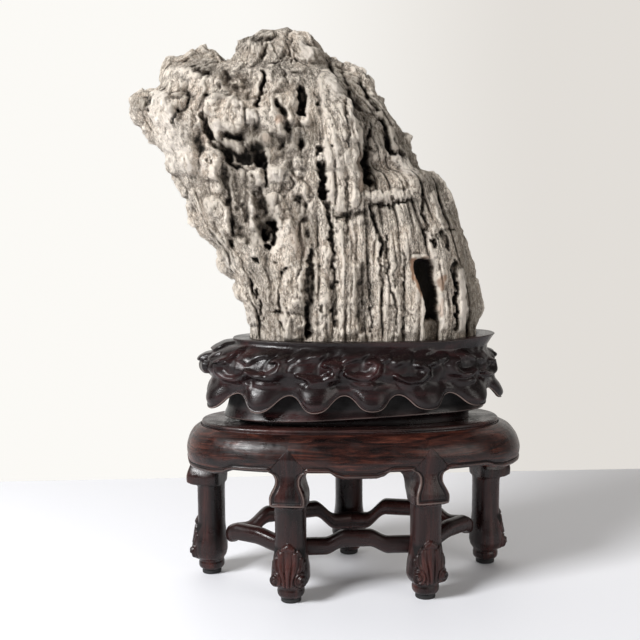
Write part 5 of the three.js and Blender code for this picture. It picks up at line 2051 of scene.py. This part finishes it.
@dataclass(frozen=True)
class Stand:
    """The whole stand: five aprons, legs, pads and stretchers, the board and the socket."""

    names: tuple[str, ...] = ("front", "front_right", "back_right", "back_left", "front_left")
    humps: tuple[float, ...] = (43.5, 41.5, 48.5, 48.5, 41.0)
    climbs: tuple[tuple[float, float, float, float], ...] = (
        (0.24, 0.40, 0.60, 0.76), (0.22, 0.58, 0.84, 0.98), (0.13, 0.31, 0.69, 0.87),
        (0.13, 0.31, 0.69, 0.87), (0.02, 0.16, 0.42, 0.78),
    )

    def build(self) -> list[Piece]:
        """Builds every piece of the stand.

        Returns:
            The pieces.
        """
        carved, figured, rubber = CARVED.make(), FIGURED.make(), RubberFinish().make()
        pieces = []
        for index, name in enumerate(self.names):
            pieces.append(Apron(name, LEGS[index], LEGS[(index + 1) % len(LEGS)]).build(figured))
            pieces.append(Stretcher(name, index, self.humps[index], self.climbs[index]).build(carved))
        for spot in LEGS:
            pieces += [Leg(spot).build(carved), Pad(spot).build(rubber)]
        return pieces + [TopBoard().build(carved), Socket().build(SMOKED.make())]


# ---- Studio ----


@dataclass(frozen=True)
class Lamp:
    """A square soft lamp that faces the middle of the object."""

    name: str
    where: tuple[float, float, float]
    size: float
    power: float
    colour: Colour
    aim: tuple[float, float, float] = (0.0, 0.0, 0.22)

    def build(self) -> None:
        """Hangs the lamp in the scene."""
        data = bpy.data.lights.new(self.name, "AREA")
        data.size, data.energy, data.color = self.size, self.power, self.colour
        lamp = bpy.data.objects.new(self.name, data)
        lamp.location = self.where
        lamp.rotation_euler = (Vector(self.aim) - Vector(self.where)).to_track_quat("-Z", "Y").to_euler()
        bpy.context.scene.collection.objects.link(lamp)


@dataclass(frozen=True)
class Studio:
    """Table top, soft window light from the left, and the camera a hand's height above the table."""

    camera_distance: float = 0.818
    camera_height: float = 0.2905
    camera_turn: float = 4.7
    camera_dip: float = 5.28
    lens: float = 56.25
    sensor: float = 36.0
    shift: float = -0.0484
    window: Lamp = Lamp("window", (-1.15, -0.85, 1.20), 0.60, 41.0, (0.985, 0.99, 1.0))
    fill: Lamp = Lamp("room_fill", (1.3, -1.3, 0.7), 1.0, 8.5, (1.0, 0.97, 0.93))
    room_colour: tuple[float, float, float, float] = (1.0, 0.985, 0.955, 1.0)
    room_strength: float = 0.15
    table_colour: Colour = (0.86, 0.865, 0.90)
    table_roughness: float = 0.55
    table_corners: Points = ((-3, -3, 0), (3, -3, 0), (3, 0.34, 0), (-3, 0.34, 0))
    # Colours of the glowing backdrop, which is painted light: pale on the left, darkened by painted shade
    # towards the right.
    sheet_left: Colour = (0.97, 0.955, 0.92)
    sheet_right: Colour = (0.76, 0.73, 0.69)
    sheet_corners: Points = ((-4, 1.3, -1.5), (4, 1.3, -1.5), (4, 1.3, 3), (-4, 1.3, 3))

    def build(self) -> None:
        """Makes the camera, the table top, the room light and the soft lamps."""
        turn, dip = radians(self.camera_turn), radians(self.camera_dip)
        data = bpy.data.cameras.new("camera")
        data.lens, data.sensor_width, data.shift_x = self.lens, self.sensor, self.shift
        data.clip_start, data.clip_end = 0.01, 20.0
        camera = bpy.data.objects.new("camera", data)
        camera.location = (
            PLACE.middle_x * MILLIMETRE - self.camera_distance * np.sin(turn),
            PLACE.middle_y * MILLIMETRE - self.camera_distance * np.cos(turn),
            self.camera_height,
        )
        camera.rotation_euler = (np.pi / 2 - dip, 0.0, -turn)
        bpy.context.scene.collection.objects.link(camera)
        bpy.context.scene.camera = camera
        self.table()
        self.backdrop()
        self.lamps()

    @staticmethod
    def board(name: str, corners: Points, material: Material) -> None:
        """A flat four-cornered board that belongs to the studio.

        Args:
            name: name of the board.
            corners: its corners, in metres.
            material: its finish.
        """
        mesh = bpy.data.meshes.new(name)
        mesh.from_pydata(list(corners), [], [(0, 1, 2, 3)])
        board = bpy.data.objects.new(name, mesh)
        bpy.context.scene.collection.objects.link(board)
        mesh.materials.append(material)

    def table(self) -> None:
        """A pale table top, whose far edge is a little way behind the object."""
        g = Graph("pale_table")
        g.dress(self.table_colour, self.table_roughness)
        self.board("table_top", self.table_corners, g.material)

    def backdrop(self) -> None:
        """A pale sheet behind the table that glows as painted light, and is a little darker towards its
        right as painted shade.
        """
        g = Graph("backdrop")
        across = g.nodes.new("ShaderNodeSeparateXYZ")
        g.wire(across.inputs[0], g.place())
        shade = g.range(across.outputs["X"], -0.15, 0.55)
        g.wire(g.shader.inputs["Base Color"], (0.0, 0.0, 0.0))
        g.wire(g.shader.inputs["Specular IOR Level"], 0.0)
        g.wire(g.shader.inputs["Emission Color"], g.blend(shade, self.sheet_left, self.sheet_right))
        g.wire(g.shader.inputs["Emission Strength"], 1.0)
        self.board("backdrop", self.sheet_corners, g.material)

    def lamps(self) -> None:
        """A dim room, a large soft window from the front left, and a weak fill from the right."""
        world = bpy.data.worlds.new("room")
        world.use_nodes = True
        back = world.node_tree.nodes["Background"]
        back.inputs["Color"].default_value = self.room_colour
        back.inputs["Strength"].default_value = self.room_strength
        bpy.context.scene.world = world
        self.window.build()
        self.fill.build()
        bpy.context.scene.view_settings.view_transform = "Standard"


def main() -> None:
    """Builds the studio, the stone and the stand, and reports each piece."""
    logging.basicConfig(level=logging.INFO, format="%(message)s")
    Studio().build()
    for piece in [Stone().build(), *Stand().build()]:
        log.info("%s: %d faces", piece.name, len(piece.data.polygons))


if __name__ == "__main__":
    main()
